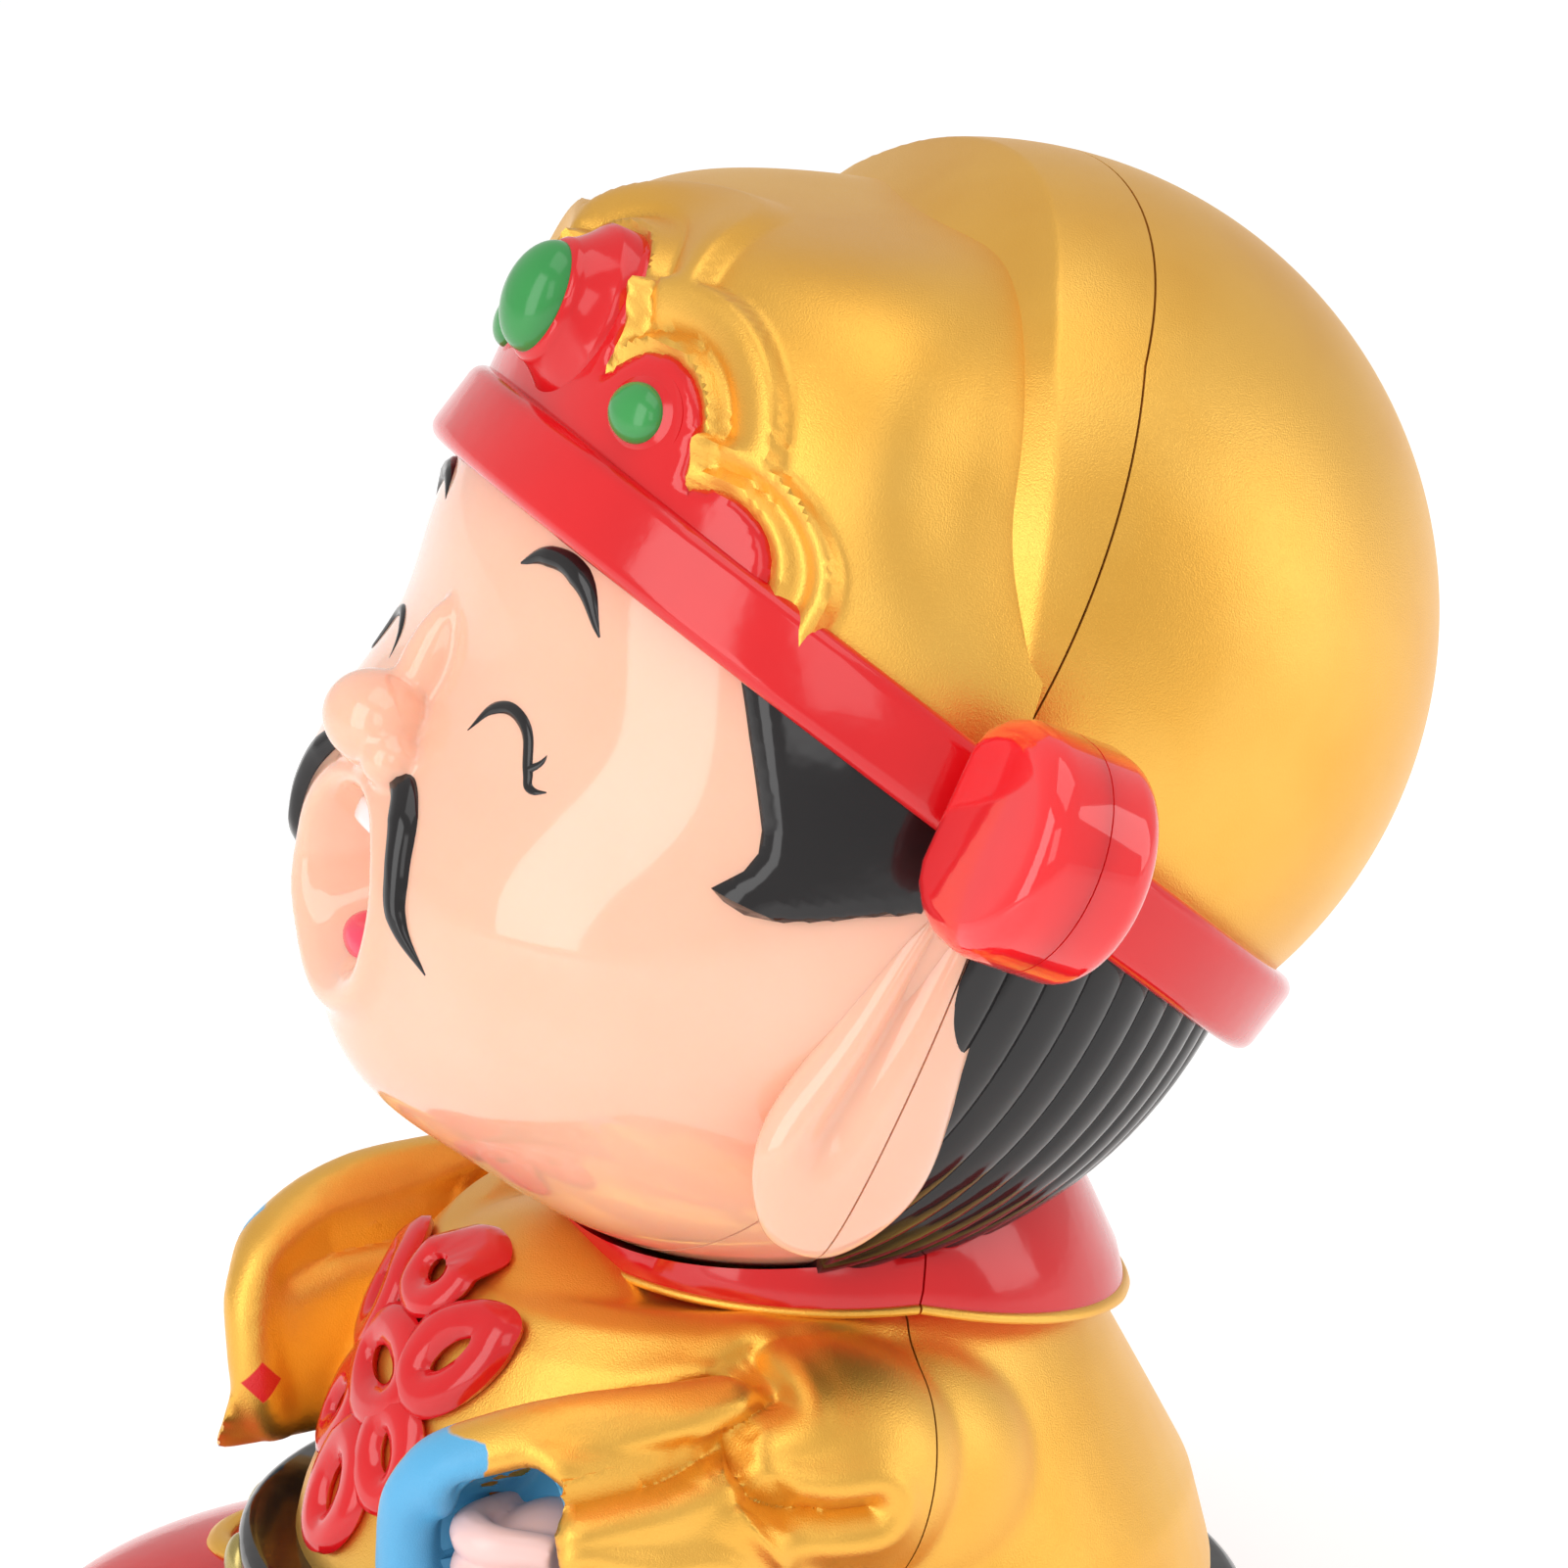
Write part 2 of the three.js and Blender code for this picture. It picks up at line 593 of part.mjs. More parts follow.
function legs() {
  const knees = bothSides.map((side) => (
    ellipsoid(KNEE.half, [KNEE.side * side, KNEE.y, KNEE.up], 12, 6)
  ));
  const toes = bothSides.map((side) => ellipsoid(TOE.half, [TOE.side * side, TOE.y, TOE.up], 8, 6));
  return join([...knees, ...toes]);
}

function hemFold(side) {
  const turn = degrees(HEM_FOLD.turn);
  const depth = WAIST_DEPTH;
  const at = [
    Math.sin(turn) * depth * TORSO.sideShare * side,
    TORSO.middleY + Math.cos(turn) * depth,
    HEM_FOLD.up,
  ];
  const [long, thick, tall] = HEM_FOLD.half;
  const geometry = ball(7, 5, (d) => new THREE.Vector3(long * d.x, thick * d.y, tall * d.z));
  return solid(geometry.rotateZ(-turn * side).translate(...at));
}

function wholeBody() {
  const ears = bothSides.map((side) => ear(side, SEAM_GAP));
  const headRoom = join([skull(HEAD_ROOM, 20, 12), ...ears]).transform(headMatrix().toArray());
  const arms = bothSides.map((side) => arm(side));
  const folds = bothSides.map((side) => hemFold(side));
  const floor = new THREE.BoxGeometry(FAR, FAR, FAR).translate(0, 0, BASE.height + SEAM_GAP - FAR / 2);
  return join([
    torso(0), chest(0), collar(), ...arms, belt(0), plaques(), emblem(), legs(), ...folds,
  ]).subtract(headRoom).subtract(solid(floor));
}

function headMatrix() {
  headGroup.updateMatrix();
  return headGroup.matrix;
}

function base() {
  const { height, rounding } = BASE;
  const inner = 1 - rounding / BASE.halfWidth;
  const profile = [[0, 0], [1, 0], [1, height - rounding], [inner, height], [0, height]];
  const geometry = turned(profile, 32);
  const position = geometry.attributes.position;
  for (let i = 0; i < position.count; i += 1) {
    const x = position.getX(i);
    const y = position.getY(i);
    const round = Math.hypot(x, y) / (Math.abs(x) ** BASE.square + Math.abs(y) ** BASE.square) ** (1 / BASE.square);
    const out = Number.isFinite(round) ? round : 1;
    position.setX(i, x * out * BASE.halfWidth);
    position.setY(i, y * out * BASE.halfDepth + BASE.middleY);
  }
  return solid(geometry);
}

// Assembly

const headGroup = new THREE.Group();
headGroup.position.set(0, -HEAD_FORWARD, HEAD_UP);
headGroup.rotation.x = degrees(-HEAD_TILT);

function add(group, name, manifold, paint) {
  const mesh = new THREE.Mesh(geometryOf(manifold), paint);
  mesh.name = name;
  group.add(mesh);
}

const figure = new THREE.Group();
figure.add(headGroup);

const head = wholeHead();
add(headGroup, "head_front", head.intersect(headHalf(-1)), PAINT.skin);
add(headGroup, "head_back", head.intersect(headHalf(1)), PAINT.gold);
add(headGroup, "hat_wing_left", wing(1), PAINT.red);
add(headGroup, "hat_wing_right", wing(-1), PAINT.red);

const body = wholeBody();
add(figure, "body_front", body.intersect(bodyHalf(-1)), PAINT.gold);
add(figure, "body_back", body.intersect(bodyHalf(1)), PAINT.gold);
add(figure, "base", base(), PAINT.red);

export default figure;
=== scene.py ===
# %% [markdown]
# # God of wealth figurine
#
# A small moulded toy: a laughing god of wealth sits cross-legged, with a big head tipped back,
# an official's gold hat with two clear red wings, and a gold robe. Each shell of the real toy
# is blown or injected plastic, and its colours are sprayed or brushed on afterwards. The packed
# solids give every shell its place and size. Here each painted zone is modelled again, finely,
# as its own piece, so that the paint edges stay crisp.

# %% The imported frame
import math

import bmesh
import bpy
from mathutils import Matrix, Vector


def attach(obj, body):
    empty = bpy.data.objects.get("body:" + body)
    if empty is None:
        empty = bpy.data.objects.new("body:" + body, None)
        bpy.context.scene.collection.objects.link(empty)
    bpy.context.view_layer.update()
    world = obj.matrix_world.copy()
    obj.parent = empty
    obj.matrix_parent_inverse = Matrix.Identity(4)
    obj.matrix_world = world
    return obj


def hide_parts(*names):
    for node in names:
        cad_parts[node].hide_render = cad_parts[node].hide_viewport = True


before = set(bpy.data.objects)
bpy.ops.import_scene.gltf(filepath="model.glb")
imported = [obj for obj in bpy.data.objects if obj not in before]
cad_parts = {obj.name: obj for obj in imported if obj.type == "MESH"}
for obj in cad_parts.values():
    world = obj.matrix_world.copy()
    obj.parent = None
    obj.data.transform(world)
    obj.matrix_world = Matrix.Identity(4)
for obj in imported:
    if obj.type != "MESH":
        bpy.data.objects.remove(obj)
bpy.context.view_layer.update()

MILLIMETRE = 0.001
print("nodes to dress:", ", ".join(sorted(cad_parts)))

# %% [markdown]
# ## Camera
#
# The photo was taken from the figure's left, 68 degrees round from its front and 20 degrees up,
# with a long lens. The camera looks at the middle of what the photo shows, and its lens follows
# from how many millimetres the photo's width covers at that distance.

# %% The camera
CAMERA_TURN = math.radians(68)
CAMERA_RISE = math.radians(20)
CAMERA_DISTANCE = 450
CAMERA_TARGET = Vector((-9.6, 0.3, 65.6))
VIEW_WIDTH = 98.23
SENSOR_WIDTH = 36
scene = bpy.context.scene


def placed(name, data):
    made = bpy.data.objects.new(name, data)
    scene.collection.objects.link(made)
    return made


camera_back = Vector((
    math.sin(CAMERA_TURN) * math.cos(CAMERA_RISE),
    -math.cos(CAMERA_TURN) * math.cos(CAMERA_RISE),
    math.sin(CAMERA_RISE),
))
camera_data = bpy.data.cameras.new("Camera")
camera_data.sensor_width = SENSOR_WIDTH
camera_data.lens = SENSOR_WIDTH * CAMERA_DISTANCE / VIEW_WIDTH
camera_data.clip_start = 0.02
camera_data.clip_end = 20
camera = placed("Camera", camera_data)
camera.location = (CAMERA_TARGET + camera_back * CAMERA_DISTANCE) * MILLIMETRE
camera.rotation_euler = camera_back.to_track_quat("Z", "Y").to_euler()
scene.camera = camera
print("lens:", round(camera_data.lens, 1), "mm")

# %% [markdown]
# ## Studio
#
# The photo is a high-key product shot: white all round, with big soft boxes whose shapes show
# in the glossy skin. A pale floor, a bright grey world and a few large area lights do the same.
# The view transform stays plain, so that the white floor comes out white.

# %% The floor and the world
scene.view_settings.view_transform = "Standard"
scene.view_settings.look = "None"
FLOOR_HALF = 3.0


def baked(form, name):
    mesh = bpy.data.meshes.new(name)
    form.to_mesh(mesh)
    form.free()
    return mesh


floor_form = bmesh.new()
bmesh.ops.create_grid(floor_form, x_segments=1, y_segments=1, size=FLOOR_HALF)
floor_mesh = baked(floor_form, "Floor")
floor = placed("Floor", floor_mesh)

paper = bpy.data.materials.new("Studio paper")
paper.use_nodes = True
PAPER = {
    "Base Color": (0.93, 0.93, 0.93, 1), "Roughness": 0.9,
    "Emission Color": (1, 1, 1, 1), "Emission Strength": 0.3,
}
for socket_name, value in PAPER.items():
    paper.node_tree.nodes["Principled BSDF"].inputs[socket_name].default_value = value
floor_mesh.materials.append(paper)

world = bpy.data.worlds.new("Studio")
scene.world = world
world.use_nodes = True
world.node_tree.nodes["Background"].inputs["Color"].default_value = (1.0, 0.99, 0.98, 1)
world.node_tree.nodes["Background"].inputs["Strength"].default_value = 0.66
print("floor:", 2 * FLOOR_HALF, "m wide")

# %% [markdown]
# The boxes are area lights. The front box is tall, for the long bright shape on the cheek, and
# the rear box picks out the dome and the collar.


# %% The soft boxes
def soft_box(name, place, aim, size, power):
    data = bpy.data.lights.new(name, "AREA")
    data.shape = "RECTANGLE"
    data.size, data.size_y = (side * MILLIMETRE for side in size)
    data.energy = power
    box = placed(name, data)
    box.location = Vector(place) * MILLIMETRE
    box.rotation_euler = (Vector(place) - Vector(aim)).to_track_quat("Z", "Y").to_euler()


HEAD_MIDDLE = (0, 0, 70)
soft_box("Front box", (170, -510, 324), HEAD_MIDDLE, (300, 620), 1.25)
soft_box("Key box", (520, -260, 420), HEAD_MIDDLE, (220, 330), 0.3)
soft_box("Top box", (80, 60, 620), HEAD_MIDDLE, (420, 420), 0.62)
soft_box("Rear box", (300, 560, 260), HEAD_MIDDLE, (300, 420), 0.6)

# %% [markdown]
# ## Finishes
#
# All colours are paint on plastic, so all of them are Principled shaders with their own gloss.
# What they share is built once as node groups: the orange peel of sprayed paint with the fine
# flakes of pearl gold, and a brushed area, which ends on a ragged edge as a brush leaves it.
# All of them read Object coordinates, which are metres here, so their scales are how many waves
# or flakes fit in a metre.


# %% Shared effects
def new_group(name, inputs, outputs):
    """A node group. Inputs are given with their values, outputs with their kind of socket."""
    group = bpy.data.node_groups.new(name, "ShaderNodeTree")
    for socket_name, value in inputs.items():
        kind = "NodeSocketVector" if isinstance(value, tuple) else "NodeSocketFloat"
        socket = group.interface.new_socket(socket_name, in_out="INPUT", socket_type=kind)
        socket.default_value = value
    for socket_name, kind in outputs.items():
        group.interface.new_socket(socket_name, in_out="OUTPUT", socket_type="NodeSocket" + kind)
    return group, group.nodes.new("NodeGroupInput"), group.nodes.new("NodeGroupOutput")


def add_node(tree, kind, sources=None, **settings):
    """A new node with its settings, and a link or a value for each of its inputs."""
    made = tree.nodes.new("ShaderNode" + kind)
    for name, value in settings.items():
        setattr(made, name, value)
    for name, source in (sources or {}).items():
        if isinstance(source, bpy.types.NodeSocket):
            tree.links.new(source, made.inputs[name])
        else:
            made.inputs[name].default_value = source
    return made


MOTTLE_SCALE = 70.0
PEEL_STEP = 0.0004
GRAIN_STEP = 0.0001
BRISTLES_SCALE = 620.0
BRUSH_SOFTNESS = 0.00006


def sprayed_skin_group():
    inputs = {"Peel scale": 700.0, "Peel depth": 0.1, "Grain scale": 5200.0, "Grain depth": 0.0}
    outputs = {"Normal": "Vector", "Mottle": "Float", "Flakes": "Float"}
    group, entry, leave = new_group("Sprayed paint", inputs, outputs)
    given = entry.outputs
    place = add_node(group, "TexCoord").outputs["Object"]
    peel = add_node(group, "TexNoise", {"Vector": place, "Scale": given["Peel scale"], "Detail": 1.0})
    grain = add_node(group, "TexNoise", {"Vector": place, "Scale": given["Grain scale"], "Detail": 2.0})
    mottle = add_node(group, "TexNoise", {"Vector": place, "Scale": MOTTLE_SCALE, "Detail": 3.0})
    wide = add_node(group, "Bump", {
        "Strength": given["Peel depth"], "Distance": PEEL_STEP, "Height": peel.outputs["Fac"],
    })
    fine = add_node(group, "Bump", {
        "Strength": given["Grain depth"], "Distance": GRAIN_STEP, "Height": grain.outputs["Fac"],
        "Normal": wide.outputs["Normal"],
    })
    group.links.new(fine.outputs["Normal"], leave.inputs["Normal"])
    group.links.new(mottle.outputs["Fac"], leave.inputs["Mottle"])
    group.links.new(grain.outputs["Fac"], leave.inputs["Flakes"])
    return group


def brushed_area_group():
    """One on the far side of a plane, zero before it."""
    inputs = {"Facing": (0.0, -1.0, 0.0), "Reach": 0.0, "Ragged": 0.0008}
    group, entry, leave = new_group("Brushed area", inputs, {"Inside": "Float"})
    given = entry.outputs
    place = add_node(group, "TexCoord").outputs["Object"]
    ahead = add_node(group, "VectorMath", {0: place, 1: given["Facing"]}, operation="DOT_PRODUCT")
    beyond = add_node(group, "Math", {
        0: ahead.outputs["Value"], 1: given["Reach"],
    }, operation="SUBTRACT")
    bristles = add_node(group, "TexNoise", {"Vector": place, "Scale": BRISTLES_SCALE})
    centred = add_node(group, "Math", {0: bristles.outputs["Fac"], 1: 0.5}, operation="SUBTRACT")
    ragged = add_node(group, "Math", {
        0: centred.outputs["Value"], 1: given["Ragged"], 2: beyond.outputs["Value"],
    }, operation="MULTIPLY_ADD")
    edge = add_node(group, "MapRange", {
        "Value": ragged.outputs["Value"], "From Min": -BRUSH_SOFTNESS, "From Max": BRUSH_SOFTNESS,
    })
    group.links.new(edge.outputs["Result"], leave.inputs["Inside"])
    return group


SPRAYED = sprayed_skin_group()
BRUSHED = brushed_area_group()
print("shared effects:", SPRAYED.name, BRUSHED.name)


# %% [markdown]
# Every paint starts from the same recipe: two close shades of the colour, mixed by a wide
# mottle, so that no area is one flat colour, and the sprayed surface on the normal. The gloss,
# the clear coat and what shines through are set for each finish below.


# %% A paint
MOTTLE_SPREAD = (0.35, 0.65)
GLOSS_SPREAD = 0.15


def paint(name, light, dark, roughness, peel=(700, 0.06), grain=(5200, 0.0), **sockets):
    material = bpy.data.materials.new(name)
    material.use_nodes = True
    tree = material.node_tree
    shader = tree.nodes["Principled BSDF"]
    effect = add_node(tree, "Group", {
        "Peel scale": peel[0], "Peel depth": peel[1], "Grain scale": grain[0], "Grain depth": grain[1],
    }, node_tree=SPRAYED)
    shades = add_node(tree, "ValToRGB", {"Fac": effect.outputs["Mottle"]})
    for element, position, colour in zip(shades.color_ramp.elements, MOTTLE_SPREAD, (dark, light)):
        element.position = position
        element.color = (*colour, 1)
    gloss = add_node(tree, "MapRange", {
        "Value": effect.outputs["Flakes"],
        "To Min": roughness * (1 - GLOSS_SPREAD), "To Max": roughness * (1 + GLOSS_SPREAD),
    })
    tree.links.new(shades.outputs["Color"], shader.inputs["Base Color"])
    tree.links.new(effect.outputs["Normal"], shader.inputs["Normal"])
    tree.links.new(gloss.outputs["Result"], shader.inputs["Roughness"])
    for socket, value in sockets.items():
        shader.inputs[socket.replace("_", " ")].default_value = value
    return material


def brushed_over(material, colour, areas):
    """A second colour laid over a finish, where every one of the areas holds."""
    tree = material.node_tree
    shader = tree.nodes["Principled BSDF"]
    inside = None
    for facing, reach, ragged in areas:
        area = add_node(tree, "Group", {
            "Facing": facing, "Reach": reach * MILLIMETRE, "Ragged": ragged * MILLIMETRE,
        }, node_tree=BRUSHED).outputs["Inside"]
        if inside is None:
            inside = area
        else:
            inside = add_node(tree, "Math", {0: inside, 1: area}, operation="MULTIPLY").outputs["Value"]
    under = shader.inputs["Base Color"].links[0].from_socket
    over = add_node(tree, "Mix", {"Factor": inside, "A": under, "B": (*colour, 1)}, data_type="RGBA")
    metallic = shader.inputs["Metallic"]
    bare = metallic.links[0].from_socket if metallic.links else metallic.default_value
    dulled = add_node(tree, "MapRange", {"Value": inside, "To Min": bare, "To Max": 0.0})
    tree.links.new(over.outputs["Result"], shader.inputs["Base Color"])
    tree.links.new(dulled.outputs["Result"], metallic)


# %% [markdown]
# The robe is pearl gold with two things brushed on: the sky blue rim of each sleeve, and a small
# red diamond on a sleeve's inner wall. A plane is given by where it faces and how many
# millimetres out it lies, and a third number says how ragged the brush left that edge.


# %% The finishes
PEARL = {
    "light": (0.92, 0.52, 0.10), "dark": (0.86, 0.45, 0.07), "roughness": 0.36,
    "peel": (500, 0.03), "grain": (9000, 0.35), "Metallic": 0.86,
}
SKY = (0.10, 0.43, 0.74)
DIAMOND_RED = (0.74, 0.01, 0.015)
CLEAN_EDGE = 0.1
PEARL_GOLD = paint("Pearl gold", **PEARL)
ROBE_GOLD = paint("Pearl gold robe", **PEARL)
for facing, reach in (((1.0, 0.0, -0.25), 6.2), ((-1.0, 0.0, 0.0), 18.2)):
    brushed_over(ROBE_GOLD, SKY, [
        (facing, reach, 0.4),
        ((0.0, -1.0, 0.0), 30.6, 1.6),
        ((0.0, 0.0, -1.0), -38.4, 0.4),
        ((0.0, 0.0, 1.0), 21.4, 0.4),
    ])
brushed_over(ROBE_GOLD, DIAMOND_RED, [
    ((1.0, 0.0, 0.0), -14.6, CLEAN_EDGE),
    ((-1.0, 0.0, 0.0), 10.0, CLEAN_EDGE),
    ((0.0, 1.0, 0.9), -9.1, CLEAN_EDGE),
    ((0.0, -1.0, -0.9), 6.5, CLEAN_EDGE),
    ((0.0, 1.0, -0.9), -61.3, CLEAN_EDGE),
    ((0.0, -1.0, 0.9), 58.7, CLEAN_EDGE),
])
SKIN = paint(
    "Glossy skin", (0.97, 0.55, 0.39), (0.96, 0.51, 0.35), 0.09,
    peel=(260, 0.05), Subsurface_Weight=0.25, Subsurface_Radius=(0.9, 0.35, 0.2),
    Subsurface_Scale=0.002, Coat_Weight=0.5,
)
RED = paint(
    "Red lacquer", (0.74, 0.006, 0.010), (0.66, 0.004, 0.008), 0.14, peel=(800, 0.05),
    Coat_Weight=0.25,
)
BLACK = paint("Black lacquer", (0.014, 0.012, 0.012), (0.008, 0.007, 0.008), 0.12, peel=(600, 0.06))
GREEN = paint("Green lacquer", (0.05, 0.33, 0.08), (0.03, 0.26, 0.06), 0.16, peel=(700, 0.05))
WHITE = paint("White lacquer", (0.93, 0.90, 0.90), (0.90, 0.86, 0.86), 0.2)
PINK = paint("Tongue pink", (0.90, 0.08, 0.16), (0.85, 0.05, 0.10), 0.2)
BLUE = paint("Blue lining", (0.14, 0.50, 0.80), (0.06, 0.36, 0.68), 0.25, peel=(900, 0.12))
HAND = paint("Hand plastic", (0.93, 0.62, 0.58), (0.90, 0.56, 0.52), 0.25)
OLIVE_GOLD = paint(
    "Old gold", (0.52, 0.42, 0.16), (0.40, 0.31, 0.10), 0.28, peel=(900, 0.08), Metallic=0.9,
)
CLEAR_RED = paint(
    "Clear red plastic", (0.86, 0.02, 0.025), (0.80, 0.012, 0.018), 0.06, peel=(250, 0.02),
    Subsurface_Weight=0.5, Subsurface_Radius=(1.0, 0.12, 0.08), Subsurface_Scale=0.004, Coat_Weight=0.6,
)
print("finishes:", len(bpy.data.materials))

# %% [markdown]
# ## Tools for the pieces
#
# Forms are modelled in millimetres and, for the head, in the head's own upright frame, with its
# origin in the middle of the skull. A finished piece is put in place by its mesh, so that its
# object stays at the origin.

# %% Frames and finishing
HEAD_AT = (0, -3.8, 69.2)
HEAD_LEAN = math.radians(-26)
HEAD_PLACE = Matrix.Translation(HEAD_AT) @ Matrix.Rotation(HEAD_LEAN, 4, "X")
BODY_PLACE = Matrix.Identity(4)
SHARP_EDGE = math.radians(50)
SIDES = ((1, "left"), (-1, "right"))


def piece(form, name, finish, nodes, place=BODY_PLACE):
    bmesh.ops.transform(form, matrix=Matrix.Scale(MILLIMETRE, 4) @ place, verts=form.verts)
    bmesh.ops.remove_doubles(form, verts=form.verts, dist=1e-7)
    bmesh.ops.recalc_face_normals(form, faces=form.faces)
    mesh = baked(form, name)
    mesh.materials.append(finish)
    mesh.shade_smooth()
    mesh.set_sharp_from_angle(angle=SHARP_EDGE)
    made = placed(name, mesh)
    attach(made, "root")
    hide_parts(*nodes)
    mesh.calc_loop_triangles()
    print(f"{name}: {len(mesh.loop_triangles)} triangles")


def face_piece(form, name, finish):
    piece(form, name, finish, ["head_front"], HEAD_PLACE)


def body_piece(form, name, finish):
    piece(form, name, finish, ["body_front"])


# %% [markdown]
# A ball whose every point is moved along its own direction is a quick way to sculpt in code.
# Where several forms have to melt into each other, they are joined like clay: a voxel remesh
# makes one skin round all of them, and a little smoothing softens the joints.


# %% Balls and clay
def ball(columns, rows, place, turn=Matrix.Identity(4)):
    form = bmesh.new()
    bmesh.ops.create_uvsphere(form, u_segments=columns, v_segments=rows, radius=1, matrix=turn)
    for point in form.verts:
        point.co = place(point.co.normalized())
    return form


def egg(half, at, columns=48, rows=32):
    half, at = Vector(half), Vector(at)
    return ball(columns, rows, lambda d: at + d * half)


def melted(forms, voxel, smoothing):
    whole = bmesh.new()
    for form in forms:
        lump = baked(form, "lump")
        whole.from_mesh(lump)
        bpy.data.meshes.remove(lump)
    return modified(whole, [
        ("REMESH", {"mode": "VOXEL", "voxel_size": voxel}),
        ("SMOOTH", {"factor": 0.5, "iterations": smoothing}),
    ])


def modified(form, steps):
    mesh = baked(form, "clay")
    holder = placed("clay", mesh)
    for kind, settings in steps:
        modifier = holder.modifiers.new(kind, kind)
        for key, value in settings.items():
            setattr(modifier, key, value)
    result = evaluated(holder)
    bpy.data.objects.remove(holder)
    bpy.data.meshes.remove(mesh)
    return result


def evaluated(holder):
    bpy.context.view_layer.update()
    graph = bpy.context.evaluated_depsgraph_get()
    mesh = bpy.data.meshes.new_from_object(holder.evaluated_get(graph))
    form = bmesh.new()
    form.from_mesh(mesh)
    bpy.data.meshes.remove(mesh)
    return form


# %% [markdown]
# The shells part along planes. Cutting the finished form with a plane and filling the cut leaves
# a closed half, and a hair's breadth between the halves shows as the seam. Seen from the side,
# the seam over the hat is slightly bent, so the form is unbent by it, cut by a plane and bent
# back.


# %% Cutting along a seam
def trimmed(form, point, outward):
    everything = form.verts[:] + form.edges[:] + form.faces[:]
    cut = bmesh.ops.bisect_plane(
        form, geom=everything, dist=1e-6, plane_co=point, plane_no=outward, clear_outer=True,
    )
    rim = [edge for edge in cut["geom_cut"] if isinstance(edge, bmesh.types.BMEdge)]
    bmesh.ops.holes_fill(form, edges=rim, sides=0)
    return form


HAIRLINE_GAP = 0.07
FORWARD = Vector((0, -1, 0))
BACKWARD = Vector((0, 1, 0))
HAT_SEAM = [(-60, 0), (3, 0), (11, -1.9), (34, -0.2), (43, 2.2), (60, 5)]


def front_half(form):
    return trimmed(form, FORWARD * HAIRLINE_GAP, BACKWARD)


def rear_half(form):
    return trimmed(form, BACKWARD * HAIRLINE_GAP, FORWARD)


def clamped(share):
    return min(1.0, max(0.0, share))


def between(table, at):
    """Read a table of places and values at one place, along straight stretches."""
    for (low_key, low), (high_key, high) in zip(table, table[1:]):
        if at <= high_key:
            break
    share = clamped((at - low_key) / (high_key - low_key))
    return low + (high - low) * share


def hat_shell(form, sign):
    for point in form.verts:
        point.co.y -= between(HAT_SEAM, point.co.z)
    form = trimmed(form, BACKWARD * (HAIRLINE_GAP * sign), BACKWARD * -sign)
    for point in form.verts:
        point.co.y += between(HAT_SEAM, point.co.z)
    return form


# %% [markdown]
# Hoops and cones are a section swept round the upright axis, and slabs are an outline pushed to
# its thickness. A bevel then rounds the edges that are soft on the moulding.


# %% Spinning, thickening and rounding
def spun(section, steps, closed=True):
    """Sweep a section, given as radii and heights, round the upright axis."""
    form = bmesh.new()
    ring = [form.verts.new((0, -radius, up)) for radius, up in section]
    following = ring[1:] + ring[:1] if closed else ring[1:]
    edges = [form.edges.new(pair) for pair in zip(ring, following)]
    bmesh.ops.spin(
        form, geom=ring + edges, cent=(0, 0, 0), axis=(0, 0, 1), angle=math.tau, steps=steps,
        use_merge=True, use_duplicate=False,
    )
    bmesh.ops.remove_doubles(form, verts=form.verts, dist=1e-4)
    bmesh.ops.recalc_face_normals(form, faces=form.faces)
    return form


def rounded(form, edges, rounding, segments):
    bmesh.ops.bevel(
        form, geom=edges, offset=rounding, segments=segments, profile=0.5, affect="EDGES",
        material=-1,
    )
    return form


SAME_PLACE = 0.1


def hoop(inner, radius, height, rounding, steps):
    """A ring with a rectangle for its section and its two outer edges rounded."""
    half = height / 2
    form = spun([(inner, -half), (radius, -half), (radius, half), (inner, half)], steps)
    rims = [
        edge for edge in form.edges
        if all(math.hypot(v.co.x, v.co.y) > radius - SAME_PLACE for v in edge.verts)
        and abs(edge.verts[0].co.z - edge.verts[1].co.z) < SAME_PLACE
    ]
    return rounded(form, rims, rounding, 5)


def second_layer(form):
    """Extrude all faces, and give back the points of the copy, still to be moved."""
    grown = bmesh.ops.extrude_face_region(form, geom=form.faces[:], use_keep_orig=True)
    return [item for item in grown["geom"] if isinstance(item, bmesh.types.BMVert)]


# %% [markdown]
# Painted relief follows the form under it. Such a piece is first made flat, across and up in
# millimetres with its thickness as the third size, and then wrapped: a function of the surface
# says where each flat point goes. Strokes are curves with a round section that swells and
# tapers. Plates are filled outlines, cut into a fine grid so that they can bend.


# %% Flat strokes and plates
def stroke(points, radii, closed=False, resolution=10):
    data = bpy.data.curves.new("stroke", "CURVE")
    data.dimensions = "3D"
    data.bevel_depth = 1.0
    data.bevel_resolution = 3
    data.use_fill_caps = not closed
    data.resolution_u = resolution
    line = data.splines.new("BEZIER")
    line.bezier_points.add(len(points) - 1)
    line.use_cyclic_u = closed
    for knot, at, radius in zip(line.bezier_points, points, radii):
        knot.co = (at[0], at[1], at[2] if len(at) > 2 else 0)
        knot.radius = radius
        knot.handle_left_type = knot.handle_right_type = "AUTO"
    holder = placed("stroke", data)
    form = evaluated(holder)
    bpy.data.objects.remove(holder)
    bpy.data.curves.remove(data)
    bmesh.ops.remove_doubles(form, verts=form.verts, dist=1e-5)
    return form


def from_line(x, y, line):
    """How far a flat point lies from the nearest stretch of a line."""
    nearest = math.inf
    for (ax, ay), (bx, by) in zip(line, line[1:]):
        dx, dy = bx - ax, by - ay
        share = clamped(((x - ax) * dx + (y - ay) * dy) / (dx * dx + dy * dy))
        nearest = min(nearest, math.hypot(x - ax - share * dx, y - ay - share * dy))
    return nearest


EDGE_RINGS = (0.12, 0.26, 0.32, 0.3)


